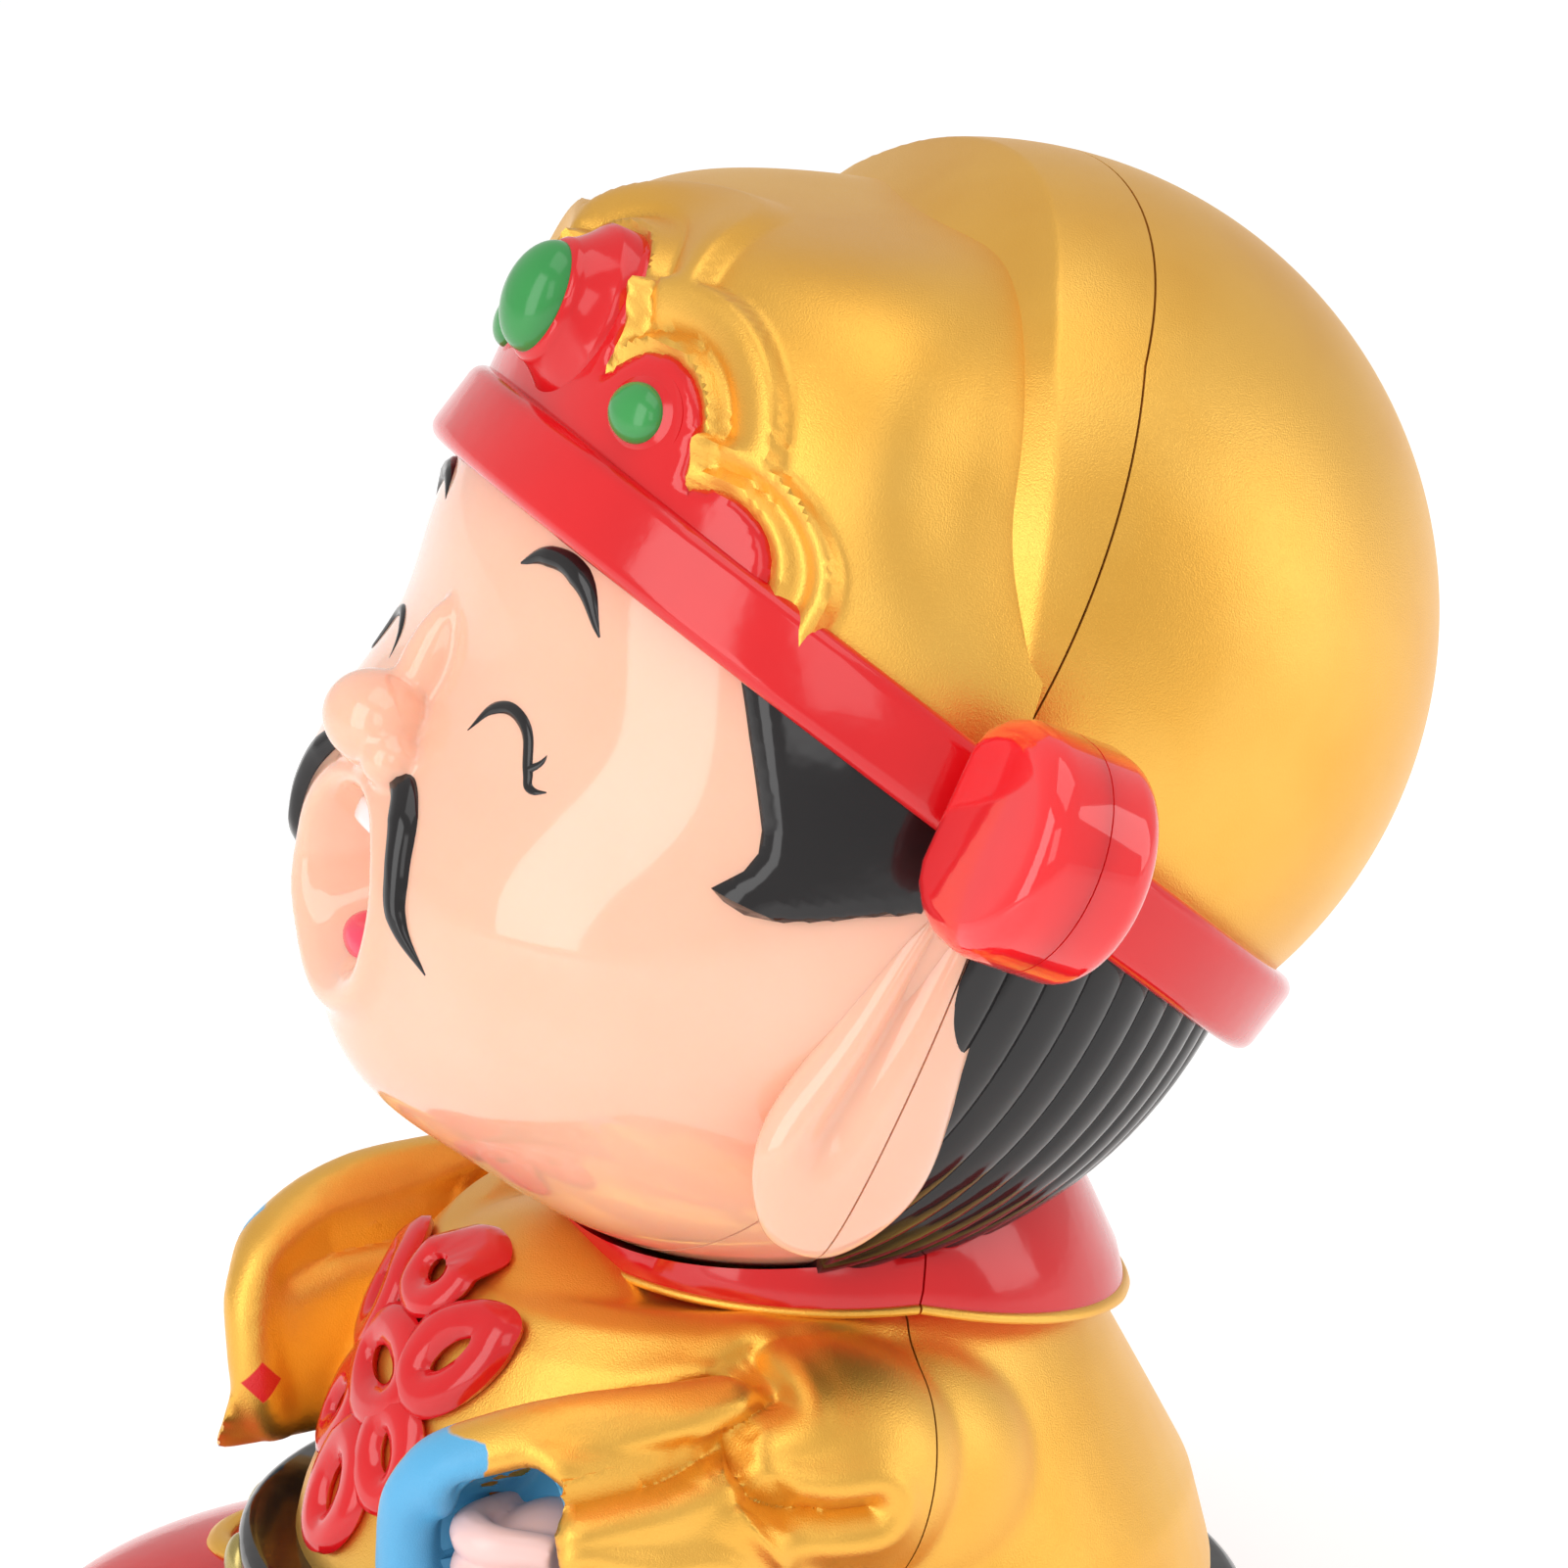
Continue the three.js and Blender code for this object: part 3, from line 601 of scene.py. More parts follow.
def plate(outline, thick, sunk, rounding, step=0.6):
    form = bmesh.new()
    faces = [form.faces.new([form.verts.new((x, y, 0)) for x, y in outline])]
    for share in EDGE_RINGS:
        bmesh.ops.inset_region(form, faces=faces, thickness=rounding * share, use_even_offset=True)
    for axis in (0, 1):
        low = min(at[axis] for at in outline)
        high = max(at[axis] for at in outline)
        across = Vector((1 - axis, axis, 0))
        for i in range(1, int((high - low) / step) + 1):
            everything = form.verts[:] + form.edges[:] + form.faces[:]
            bmesh.ops.bisect_plane(
                form, geom=everything, dist=1e-4, plane_co=across * (low + i * step), plane_no=across,
            )
    border = outline + outline[:1]
    for point in form.verts:
        share = 1 - min(1.0, from_line(point.co.x, point.co.y, border) / rounding)
        point.co.z = thick * math.sqrt(max(0.0, 1 - share * share))
    for point in second_layer(form):
        point.co.z = -sunk
    return form


def wrapped(form, surface):
    for point in form.verts:
        point.co = surface(point.co.x, point.co.y, point.co.z)
    return form


# %% [markdown]
# ## Head: skull and face
#
# The head is one big round form. A wide hollow runs across the eyes, the cheeks and the chin
# swell, and the open mouth is pressed in. Each of them is given by how far out it goes, and by its
# place and width in degrees, sideways and then upwards. The nose and its two wings are separate
# lumps, melted into the face like clay. The ball's poles point at the mouth, so that its rings
# run round the lips, where the form changes fastest. The features are a moulded doll's, laid out
# from this figure's own proportions.

# %% The skull's form
SKULL_RADIUS = 29.3
EYE_HOLLOW = (-4.6, 0, 58, 0, 19)
CHEEKS = (1.0, 34, 22, -22, 16)
CHIN = (2.0, 0, 28, -52, 14)
MOUTH = {"up": -14.2, "half_width": 5.6, "half_height": 5.4, "depth": 5.0}
LIP = {"upper": 0.35, "lower": 0.55, "middle": 1.22, "width": 0.17}


def bell(value, middle, width):
    return math.exp(-(((value - middle) / width) ** 2))


def smooth_step(low, high, value):
    share = clamped((value - low) / (high - low))
    return share * share * (3 - 2 * share)


def skull_radius(d):
    across = math.degrees(math.atan2(d.x, -d.y))
    above = math.degrees(math.asin(min(1.0, max(-1.0, d.z))))
    radius = SKULL_RADIUS
    for out, aside, wide, up, high in (EYE_HOLLOW, CHEEKS, CHIN):
        radius += out * bell(abs(across), aside, wide) * bell(above, up, high)
    return radius


def lip_share(at):
    return math.hypot(at.x / MOUTH["half_width"], (at.z - MOUTH["up"]) / MOUTH["half_height"])


def face_point(d):
    reach = skull_radius(d)
    at = d * reach
    if d.y < 0:
        share = lip_share(at)
        lower = smooth_step(MOUTH["up"] + 1, MOUTH["up"] - 3, at.z)
        proud = LIP["upper"] + LIP["lower"] * lower
        reach += proud * bell(share, LIP["middle"], LIP["width"])
        reach -= MOUTH["depth"] * smooth_step(1.08, 0.72, share)
    return d * reach


def surface_along(axis, sign):
    """How far out the skull lies along one axis, over a place given on the other two."""
    def reach_over(across, up, proud):
        flat = Vector((across, 0, up)) if axis == 1 else Vector((0, across, up))
        radius = SKULL_RADIUS
        for _ in range(5):
            out = math.sqrt(max(4.0, (radius + proud) ** 2 - across * across - up * up))
            at = flat.copy()
            at[axis] = sign * out
            radius = skull_radius(at.normalized())
        return at
    return reach_over


on_face = surface_along(1, -1)
print("skull depth at the nose:", round(-on_face(0, -4, 0).y, 1), "mm")

# %% [markdown]
# The nose, its bridge and its two wings are eggs, set into the ball before all of it is melted.
# The skin is cut at the seam, so that only the front shell's share stays.

# %% The face shell
MOUTH_ANGLE = math.radians(29)
NOSE = ((3.7, 3.4, 3.0), (0, -26.6, -4.3))
NOSE_BRIDGE = ((1.9, 2.2, 5.2), (0, -24.6, -0.6))
NOSTRIL = ((2.0, 2.1, 1.8), (3.1, -26.0, -5.8))
CLAY_VOXEL = 0.3

toward_mouth = Vector((0, -math.cos(MOUTH_ANGLE), -math.sin(MOUTH_ANGLE)))
pole_turn = toward_mouth.to_track_quat("Z", "Y").to_matrix().to_4x4()
face_lumps = [ball(256, 200, face_point, pole_turn), egg(*NOSE), egg(*NOSE_BRIDGE)]
for side, word in SIDES:
    face_lumps.append(egg(NOSTRIL[0], (side * NOSTRIL[1][0], *NOSTRIL[1][1:]), 32, 24))
face_piece(front_half(melted(face_lumps, CLAY_VOXEL, 3)), "face", SKIN)

# %% [markdown]
# ## Head: mouth
#
# The laughing mouth shows a row of upper teeth and a tongue. At this size they are two painted
# lumps inside the hollow: a white bar, rounded along its lower edge, and a pink mound with the
# shallow furrow down its middle.


# %% Teeth and tongue
TEETH = {"half": Vector((4.7, 1.3, 0.9)), "at": Vector((0, -23.6, -10.0)), "back": 1.6, "drop": 0.5}
TONGUE = {"half": Vector((3.6, 2.8, 1.9)), "at": Vector((0, -19.9, -17.2)), "furrow": 0.35}


def tooth_bar(d):
    square = d * (abs(d.x) ** 4 + abs(d.y) ** 4 + abs(d.z) ** 4) ** -0.25
    bend = square.x ** 2
    return TEETH["at"] + square * TEETH["half"] + Vector((0, TEETH["back"], -TEETH["drop"])) * bend


def tongue_point(d):
    furrow = TONGUE["furrow"] * bell(d.x, 0, 0.22) * max(0.0, d.z)
    return TONGUE["at"] + d * TONGUE["half"] - Vector((0, 0, furrow))


face_piece(ball(64, 32, tooth_bar), "teeth", WHITE)
face_piece(ball(48, 32, tongue_point), "tongue", PINK)

# %% [markdown]
# ## Head: brows, eyes and moustache
#
# They are low ridges with black paint on their crests. Each is a brush stroke: a curve whose
# round section swells and tapers, wrapped onto the face and sunk until only its crest stands
# proud. The other side is the same stroke mirrored.


# %% Painted strokes
def on_both_sides(points, radii, name, finish, lift, flat=1.0):
    for side, word in SIDES:
        form = stroke([(side * p[0], *p[1:]) for p in points], radii)
        wrapped(form, lambda x, z, w: on_face(x, z, lift + w * flat))
        face_piece(form, f"{name}_{word}", finish)


BROW = [(6.4, 8.4), (8.6, 9.8), (11.4, 9.7), (14.2, 7.2)]
EYE = [(6.8, -2.3), (8.3, 0.2), (10.9, 0.5), (13.2, -1.9), (13.9, -2.6), (15.2, -2.2)]
LASH = [(13.1, -1.7), (13.6, -1.0), (13.7, -0.3)]
MOUSTACHE = [(2.3, -6.8), (4.7, -6.5), (7.1, -8.2), (8.5, -10.9), (9.3, -13.5), (11.6, -15.6)]
on_both_sides(BROW, [0.15, 0.7, 0.8, 0.2], "brow", BLACK, -0.15, 0.8)
on_both_sides(EYE, [0.1, 0.42, 0.45, 0.36, 0.3, 0.12], "eye", BLACK, -0.1, 0.7)
on_both_sides(LASH, [0.3, 0.2, 0.05], "lash", BLACK, -0.05, 0.7)
on_both_sides(MOUSTACHE, [0.3, 0.9, 1.15, 1.0, 0.85, 0.2], "moustache", BLACK, -0.2, 1.1)

# %% [markdown]
# ## Head: ears
#
# Long ears with heavy lobes are a sign of luck. The parting line of the head runs right down
# them, so each ear is modelled whole and then cut in two, and its halves belong to the front
# and the rear shell. A rolled rim with a channel behind it runs down the front edge.

# %% Ears
EAR = {
    "side": 27.4, "top": 3.6, "bottom": -20.8, "neck": 4.3, "lobe": 6.2, "thick": 2.5,
    "channel": 1.3, "rim": 0.7, "lean": 0.6,
}


def ear_point(side):
    middle = (EAR["top"] + EAR["bottom"]) / 2
    half = (EAR["top"] - EAR["bottom"]) / 2

    def place(d):
        wide = EAR["neck"] + (EAR["lobe"] - EAR["neck"]) * bell(d.z, -0.6, 0.5)
        around = max(math.hypot(d.x, d.y), 1e-4)
        full = around ** -0.3
        channel = EAR["channel"] * bell(d.y / around, -0.42, 0.22) * smooth_step(-0.72, -0.3, d.z)
        channel *= d.x * side > 0
        rim = EAR["rim"] * bell(d.y / around, -0.85, 0.2) * smooth_step(-0.8, -0.4, d.z)
        return Vector((
            side * EAR["side"] + d.x * full * (EAR["thick"] + rim - channel),
            d.y * full * wide - EAR["lean"] * (1 - d.z),
            middle + half * d.z,
        ))
    return place


for side, word in SIDES:
    face_piece(front_half(ball(96, 96, ear_point(side))), f"ear_{word}_front", SKIN)
    rear = rear_half(ball(96, 96, ear_point(side)))
    piece(rear, f"ear_{word}_rear", SKIN, ["head_back"], HEAD_PLACE)

# %% [markdown]
# ## Head: hair
#
# The hair on the rear shell is combed straight down in fine moulded grooves, so it is a ball
# whose radius ripples round its upright axis. Under the ears the hair ends on a slanting line,
# and the neck below it is bare skin.

# %% Combed hair
GROOVES = 64
GROOVE_DEPTH = 0.45
HAIR_RADIUS = SKULL_RADIUS + 0.8
BAND_MIDDLE = Vector((0, 2.8, 6.4))
BAND_TILT = math.radians(15)
BAND_NORMAL = Vector((0, math.sin(BAND_TILT), math.cos(BAND_TILT)))
NAPE_POINT = Vector((0, 0, -12))
NAPE_NORMAL = Vector((0, 0.856, 0.517))


def combed(d):
    turn = math.atan2(d.y, d.x)
    groove = abs(math.sin(turn * GROOVES / 2)) ** 0.6
    return d * (HAIR_RADIUS - GROOVE_DEPTH * (1 - groove) * (1 - d.z ** 6))


hair = ball(GROOVES * 9, 64, combed)
hair = trimmed(rear_half(hair), BAND_MIDDLE, BAND_NORMAL)
hair = trimmed(hair, NAPE_POINT, -NAPE_NORMAL)
piece(hair, "hair", BLACK, ["head_back"], HEAD_PLACE)
nape = rear_half(ball(192, 128, lambda d: d * SKULL_RADIUS))
nape = trimmed(nape, NAPE_POINT, NAPE_NORMAL)
piece(nape, "nape", SKIN, ["head_back"], HEAD_PLACE)

# %% [markdown]
# In front of each ear a painted side lock sweeps forward to a point. It is a low plate with a
# rounded edge, wrapped onto the side of the skull.

# %% Side locks
LOCK = [
    (-17.6, 12.0), (-16.6, 8.8), (-15.4, 6.2), (-14.1, 3.6), (-13.1, 1.6), (-12.8, 0.3), (-13.1, -1.0),
    (-14.2, -2.7), (-13.4, -3.1), (-12.2, -3.3), (-10.6, -2.9), (-8.6, -1.9), (-6.4, -0.6), (-4.6, 0.2),
    (-3.6, 0.8), (-3.0, 3.0), (-2.8, 12.0),
]
for side, word in SIDES:
    lock = plate(LOCK, thick=0.9, sunk=0.8, rounding=0.75)
    wrapped(lock, surface_along(0, side))
    face_piece(lock, f"side_lock_{word}", BLACK)

# %% [markdown]
# ## Hat: band
#
# The hat is an official's cap. Its red band is a plain ring with soft edges, tipped back a
# little on the head. A rectangle spun round the band's axis makes it, and a bevel rounds its
# outer edges. The moulding seam cuts it at the sides like everything else on the head.

# %% Band
BAND = {"inner": 24.0, "radius": 31.4, "height": 5.4, "rounding": 1.0}
BAND_PLACE = Matrix.Translation(BAND_MIDDLE) @ Matrix.Rotation(-BAND_TILT, 4, "X")


def band_ring():
    form = hoop(**BAND, steps=192)
    bmesh.ops.transform(form, matrix=BAND_PLACE, verts=form.verts)
    return form


face_piece(hat_shell(band_ring(), -1), "band_front", RED)
piece(hat_shell(band_ring(), 1), "band_rear", RED, ["head_back"], HEAD_PLACE)

# %% [markdown]
# ## Hat: crown and its relief
#
# The front of the cap is a rounded box with a flat forehead and a flat top. Round the red plate
# runs a gold lip, a groove, and overlapping petals, each of which climbs to a crisp edge and
# drops off outside it. The relief is a height over the front view: for each lobe of the plate,
# the distance outside it picks the place on the petal's profile, and lower petals lie on top.
# Towards the rib the crown is drawn in to a waist.

# %% The crown's form
CROWN = {
    "half_width": 28.6, "half_depth": 23.3, "middle": -2.0, "floor": 8.0, "height": 29.7,
    "under": 6.0, "slope": 0.34, "round": 2.2, "square": 9.0,
}
WAIST = {"depth": 1.9, "from": -15.5, "full": -8.5, "axis_up": 14.1, "low": 13.0, "high": 24.0}
LOBES = [(0.0, 22.8, 5.6), (10.2, 18.9, 4.6), (17.6, 14.4, 3.7)]
PETAL_WIDTHS = [4.3, 4.3, 2.5]
PETAL_HEIGHT = 1.25
PLATE_LIP = (0.6, 0.55, 0.4)
PLATE_GROOVE = (-0.4, 1.5, 0.4)
RELIEF_RISE = 0.2


def crown_outward(at, rise=0.0):
    across = at.x / CROWN["half_width"] ** 2
    back = (at.y - CROWN["middle"]) / CROWN["half_depth"] ** 2
    return Vector((across, back, rise)).normalized()


def crown_reach(d):
    facing = max(0.0, math.cos(math.atan2(d.x, -d.y))) ** 2
    power = CROWN["round"] + (CROWN["square"] - CROWN["round"]) * facing
    side = math.hypot(d.x / CROWN["half_width"], d.y / CROWN["half_depth"])
    top = max(0.0, d.z - CROWN["slope"] * d.y) / CROWN["height"]
    return 1 / max(1e-3, (side ** power + top ** power) ** (1 / power))


def outside_lobe(x, z, lobe):
    side, up, radius = lobe
    return math.hypot(abs(x) - side, max(0.0, z - up)) - radius


def petal_profile(out, width):
    climb = 0.12 + 0.88 * smooth_step(0.2 * width, 0.9 * width, out) ** 1.3
    return PETAL_HEIGHT * climb


def plate_relief(x, z):
    height = 0.0
    for lobe, width in zip(LOBES, PETAL_WIDTHS):
        out = outside_lobe(x, z, lobe)
        share = smooth_step(width + 0.4, width - 0.05, out)
        height += (petal_profile(out, width) - height) * share
    nearest = min(outside_lobe(x, z, lobe) for lobe in LOBES)
    height *= smooth_step(-0.2, 0.3, nearest)
    for rise, out, width in (PLATE_LIP, PLATE_GROOVE):
        height += rise * bell(nearest, out, width)
    return height


def crown_point(d):
    reach = crown_reach(d)
    at = Vector((0, CROWN["middle"], CROWN["floor"]))
    at += Vector((d.x * reach, d.y * reach, max(-CROWN["under"], d.z * reach)))
    across = math.hypot(at.x, at.z - WAIST["axis_up"])
    if across > 1:
        pull = WAIST["depth"] * smooth_step(WAIST["from"], WAIST["full"], at.y)
        pull *= smooth_step(WAIST["low"], WAIST["high"], at.z)
        at.x -= pull * (at.x / across) ** 3
    if d.y < 0 and at.z > CROWN["floor"]:
        front = smooth_step(-6.0, -12.0, at.y)
        out = crown_outward(at) + Vector((0, 0, RELIEF_RISE))
        at += out * plate_relief(at.x, at.z) * front
    return at


def on_crown(x, z, proud):
    """The place on the crown's front, in front view, by halving the span that holds it."""
    near, far = CROWN["middle"], CROWN["middle"] - 40.0
    for _ in range(24):
        y = (near + far) / 2
        offset = Vector((x, y - CROWN["middle"], z - CROWN["floor"]))
        inside = offset.length < crown_reach(offset.normalized())
        near, far = (y, far) if inside else (near, y)
    at = Vector((x, near, z))
    return at + crown_outward(at) * proud


print("lobes of the plate:", 2 * len(LOBES) - 1)

# %% [markdown]
# The crown is one ball pushed out to that form. It is cut off at the band and behind, where the
# dome's riser takes over.

# %% Crown
crown = ball(400, 260, crown_point)
crown = trimmed(crown, BAND_MIDDLE, -BAND_NORMAL)
crown = trimmed(crown, BACKWARD * -2.0, BACKWARD)
piece(crown, "crown", PEARL_GOLD, ["head_front"], HEAD_PLACE)

# %% [markdown]
# ## Hat: dome
#
# The back of the cap is a dome. Its front edge is a rib round the cap that narrows downwards,
# with a slanted riser down to the crown. The moulding seam runs along the rib's rear edge, so
# the rib belongs to the front shell and the rest to the rear one. The ball's poles lie front
# and back here, so that its rings follow the riser, and the rib gets finer rings.

# %% Dome and rib
DOME = {"radius": 29.0, "back": 6.6, "up": 14.1}
RIB_STEP = 3.6
RIB_CREASE = [(15, -7.5), (25, -9.0), (34, -8.6), (38, -7.6), (42, -7.2)]
RIB_FRONT = [(15, -2.9), (21, -4.0), (32, -5.3), (36, -5.0), (39, -4.2), (42, -3.2)]
ALONG_HEAD = Matrix.Rotation(math.radians(90), 4, "X")


def dome_point(d):
    y = DOME["back"] + d.y * DOME["radius"]
    across = math.hypot(d.x, d.z) * DOME["radius"]
    up = DOME["up"] + d.z * DOME["radius"]
    front = between(RIB_FRONT, up)
    climb = (front - y) / (front - between(RIB_CREASE, up))
    drop = RIB_STEP * clamped(climb)
    share = max(0.0, across - drop) / across if across > 0 else 1.0
    return Vector((d.x * DOME["radius"] * share, y, DOME["up"] + d.z * DOME["radius"] * share))


def dome_half(sign, rows):
    form = ball(192, rows, dome_point, ALONG_HEAD)
    form = trimmed(form, BAND_MIDDLE, -BAND_NORMAL)
    return hat_shell(form, sign)


rib = trimmed(dome_half(-1, 420), BACKWARD * -10, FORWARD)
piece(rib, "rib", PEARL_GOLD, ["head_front"], HEAD_PLACE)
piece(dome_half(1, 160), "dome", PEARL_GOLD, ["head_back"], HEAD_PLACE)

# %% [markdown]
# ## Hat: red plate and jewels
#
# The plate over the forehead has five lobes, and its outline is simply how high the highest
# lobe reaches at each place across.

# %% Plate
PLATE_FOOT = 12.4


def plate_height(x):
    heights = []
    for side, up, radius in LOBES:
        away = abs(abs(x) - side)
        if away < radius:
            heights.append(up + math.sqrt(radius ** 2 - away ** 2))
    return max(heights)


plate_reach = LOBES[-1][0] + LOBES[-1][2] - 0.02
across = [plate_reach * math.sin(math.radians(turn)) for turn in range(-90, 91, 2)]
plate_outline = [(x, plate_height(x)) for x in across]
plate_outline += [(plate_reach, PLATE_FOOT), (-plate_reach, PLATE_FOOT)]
red_plate = plate(plate_outline, thick=0.5, sunk=0.6, rounding=0.4, step=0.5)
wrapped(red_plate, on_crown)
face_piece(red_plate, "plate", RED)

# %% [markdown]
# A big green stone sits in a red cone on the middle lobe, and a small one on each lobe beside
# it. The cone is spun from its profile. The stone is an egg sunk into it, so that its rim shows
# a crisp edge.

# %% Jewels
STONE_RIM = 0.3
SETTING_DEPTH = 2.0
JEWEL_RISE = 0.0004
BIG_JEWEL = {"foot": 5.6, "bezel": 3.9, "proud": 2.9, "half": (2.9, 3.5, 2.2)}
SMALL_JEWEL = {"foot": 2.9, "bezel": 2.3, "proud": 0.6, "half": (2.2, 1.8, 1.2), "lift": 0.8}


def jewel(name, lobe, sign, foot, bezel, proud, half, lift=0.0):
    side, up, _ = lobe
    at = on_crown(side * sign, up + lift, 0)
    outward = crown_outward(at, JEWEL_RISE).to_track_quat("Z", "Y")
    turn = Matrix.Translation(at) @ outward.to_matrix().to_4x4()
    shoulder_up = proud - STONE_RIM
    profile = [(0, proud), (bezel - STONE_RIM, proud), (bezel, shoulder_up)]
    for step in range(1, 9):
        share = step / 8
        wide = bezel + (foot - bezel) * share ** 1.5
        profile.append((wide, shoulder_up * (1 - share) + STONE_RIM * share))
    profile.append((foot, -SETTING_DEPTH))
    cone = spun(profile, 72, closed=False)
    bmesh.ops.scale(cone, vec=(half[0] / half[1], 1, 1), verts=cone.verts)
    stone = egg(half, (0, 0, proud))
    for form, part, finish in ((cone, "setting", RED), (stone, "stone", GREEN)):
        bmesh.ops.transform(form, matrix=turn, verts=form.verts)
        face_piece(form, f"{name}_{part}", finish)


jewel("big_jewel", LOBES[0], 1, **BIG_JEWEL)
for side, word in SIDES:
    jewel(f"jewel_{word}", LOBES[1], side, **SMALL_JEWEL)

# %% [markdown]
# ## Hat: wings
#
# The wings are solid clear red plastic, moulded in two halves, with a fine line round them where
# the halves meet. Each is an outline pushed to its thickness, with its edges rounded by a bevel.

# %% Wings
WING = {
    "root": 29.9, "tip": 44.9, "half_height": 6.9, "neck": 3.8, "middle": -3.4, "thick": 8.0,
    "rounding": 1.8, "seam": 0.05,
}
WING_UP = BAND_MIDDLE.z + math.tan(BAND_TILT) * (BAND_MIDDLE.y - WING["middle"])


def wing_outline(side):
    root, tip, half, neck = WING["root"] + 1.7, WING["tip"], WING["half_height"], WING["neck"]
    bend = [(root, -neck), (root + 0.9, -neck - 1.6), (root + 2.6, -half + 0.5), (root + 4.6, -half)]
    turns = [math.radians(angle) for angle in range(-90, 91, 6)]
    round_end = [(tip - half + half * math.cos(t), half * math.sin(t)) for t in turns]
    mirrored = [(x, -z) for x, z in reversed(bend)]
    return [(side * x, z) for x, z in bend + round_end + mirrored]


def wing_body(side):
    form = bmesh.new()
    back = WING["middle"] + WING["thick"] / 2
    form.faces.new([form.verts.new((x, back, z + WING_UP)) for x, z in wing_outline(side)])
    bmesh.ops.translate(form, vec=FORWARD * WING["thick"], verts=second_layer(form))
    bmesh.ops.recalc_face_normals(form, faces=form.faces)
    rims = [e for e in form.edges if abs(e.verts[0].co.y - e.verts[1].co.y) < SAME_PLACE]
    return rounded(form, rims, WING["rounding"], 7)


for side, word in SIDES:
    for outward, half in ((BACKWARD, "front"), (FORWARD, "rear")):
        cut_at = BACKWARD * WING["middle"] - outward * WING["seam"]
        wing = trimmed(wing_body(side), cut_at, outward)
        piece(wing, f"wing_{word}_{half}", CLEAR_RED, [f"hat_wing_{word}"], HEAD_PLACE)

# %% [markdown]
# ## Body: gold robe
#
# Trunk, chest, shoulders and sleeves are one moulding, so they are melted into one another like
# the nose into the face. The trunk is a profile spun round and pressed flat at the sides.

# %% Trunk
TRUNK = {"middle": -6.0, "side_share": 0.87, "floor": 4.55}
TRUNK_PROFILE = [
    (0.0, 40.0), (12.0, 40.4), (17.4, 41.6), (19.6, 41.2), (21.6, 39.2), (23.4, 36.0), (26.0, 30.0),
    (28.6, 23.5), (30.0, 17.0), (29.6, 11.0), (28.0, 6.0), (27.6, 4.55), (0.0, 4.55),
]
SHOULDER_SLOPE = {"low": 20, "span": 18, "rear": 0.16, "front": -0.03}
DOWNWARD = Vector((0, 0, -1))


def trunk():
    form = spun(TRUNK_PROFILE, 72, closed=False)
    for point in form.verts:
        share = clamped((point.co.z - SHOULDER_SLOPE["low"]) / SHOULDER_SLOPE["span"])
        slope = SHOULDER_SLOPE["rear" if point.co.y > 0 else "front"]
        point.co.z -= point.co.y * slope * share
        point.co.x *= TRUNK["side_share"]
        point.co.y += TRUNK["middle"]
    return form


def above_floor(form):
    return trimmed(form, DOWNWARD * -TRUNK["floor"], DOWNWARD)


print("points in the trunk's profile:", len(TRUNK_PROFILE))

# %% [markdown]
# Each sleeve is a soft square tube, cut off at its mouth, with a hollow cut into it. A rolled
# lip lies over the mouth's outer edge.

# %% Sleeves
SLEEVE = {
    "side": 20.0, "back": -2.0, "front": -44.0, "mouth": -31.6, "up": 30.4, "half_width": 7.4,
    "half_height": 9.2, "turn": 28, "tip": 18, "wall": 1.4, "depth": 7.0,
}
ROLL = [
    (20.5, -12.0, 37.4), (20.5, -20.0, 38.4), (18.8, -28.4, 37.6), (16.0, -33.0, 34.7),
    (14.6, -33.8, 31.0), (14.8, -33.2, 26.8), (17.4, -31.6, 24.3),
]
ROLL_RADII = [2.0, 2.2, 2.2, 2.0, 1.9, 1.9, 1.9]


def mouth_plane(side):
    turn = Matrix.Rotation(math.radians(SLEEVE["turn"]) * side, 3, "Z")
    return turn @ Matrix.Rotation(-math.radians(SLEEVE["tip"]), 3, "X") @ FORWARD


def mouth_middle(side, set_back=0.0):
    return Vector((SLEEVE["side"] * side, SLEEVE["mouth"] + set_back, SLEEVE["up"]))


def sleeve_form(side, shrink):
    length = (SLEEVE["back"] - SLEEVE["front"]) / 2
    middle = (SLEEVE["back"] + SLEEVE["front"]) / 2

    def place(d):
        across = math.hypot(d.x, d.z)
        reach = (abs(d.y) ** 4 + across ** 4) ** -0.25
        flare = 0.86 - 0.14 * d.y * reach
        return Vector((
            SLEEVE["side"] * side + d.x * reach * (SLEEVE["half_width"] - shrink) * flare,
            middle + d.y * reach * (length - shrink),
            SLEEVE["up"] + d.z * reach * (SLEEVE["half_height"] - shrink) * flare,
        ))
    return ball(72, 48, place, ALONG_HEAD)


def before_mouth(form, side, set_back=0.0):
    return trimmed(form, mouth_middle(side, set_back), mouth_plane(side))


def behind_mouth(form, side, set_back):
    return trimmed(form, mouth_middle(side, set_back), -mouth_plane(side))


def hollowed(form, cutter):
    mesh = baked(cutter, "cutter")
    tool = placed("cutter", mesh)
    settings = {"operation": "DIFFERENCE", "object": tool, "solver": "EXACT"}
    result = modified(form, [("BOOLEAN", settings)])
    bpy.data.objects.remove(tool)
    bpy.data.meshes.remove(mesh)
    return result


def sleeve(side):
    outer = before_mouth(sleeve_form(side, 0.0), side)
    return hollowed(outer, behind_mouth(sleeve_form(side, SLEEVE["wall"]), side, SLEEVE["depth"]))


print("the left sleeve's mouth faces:", [round(part, 2) for part in mouth_plane(1)])

# %% [markdown]
# The creases of a sleeve are pressed into the clay after it is smoothed. Each is a line in side
# view with its depth, its width and how much its banks swell. The crease is a sharp V, as on the
# moulding, so the mesh is made finer round it first. They are the same on both arms.

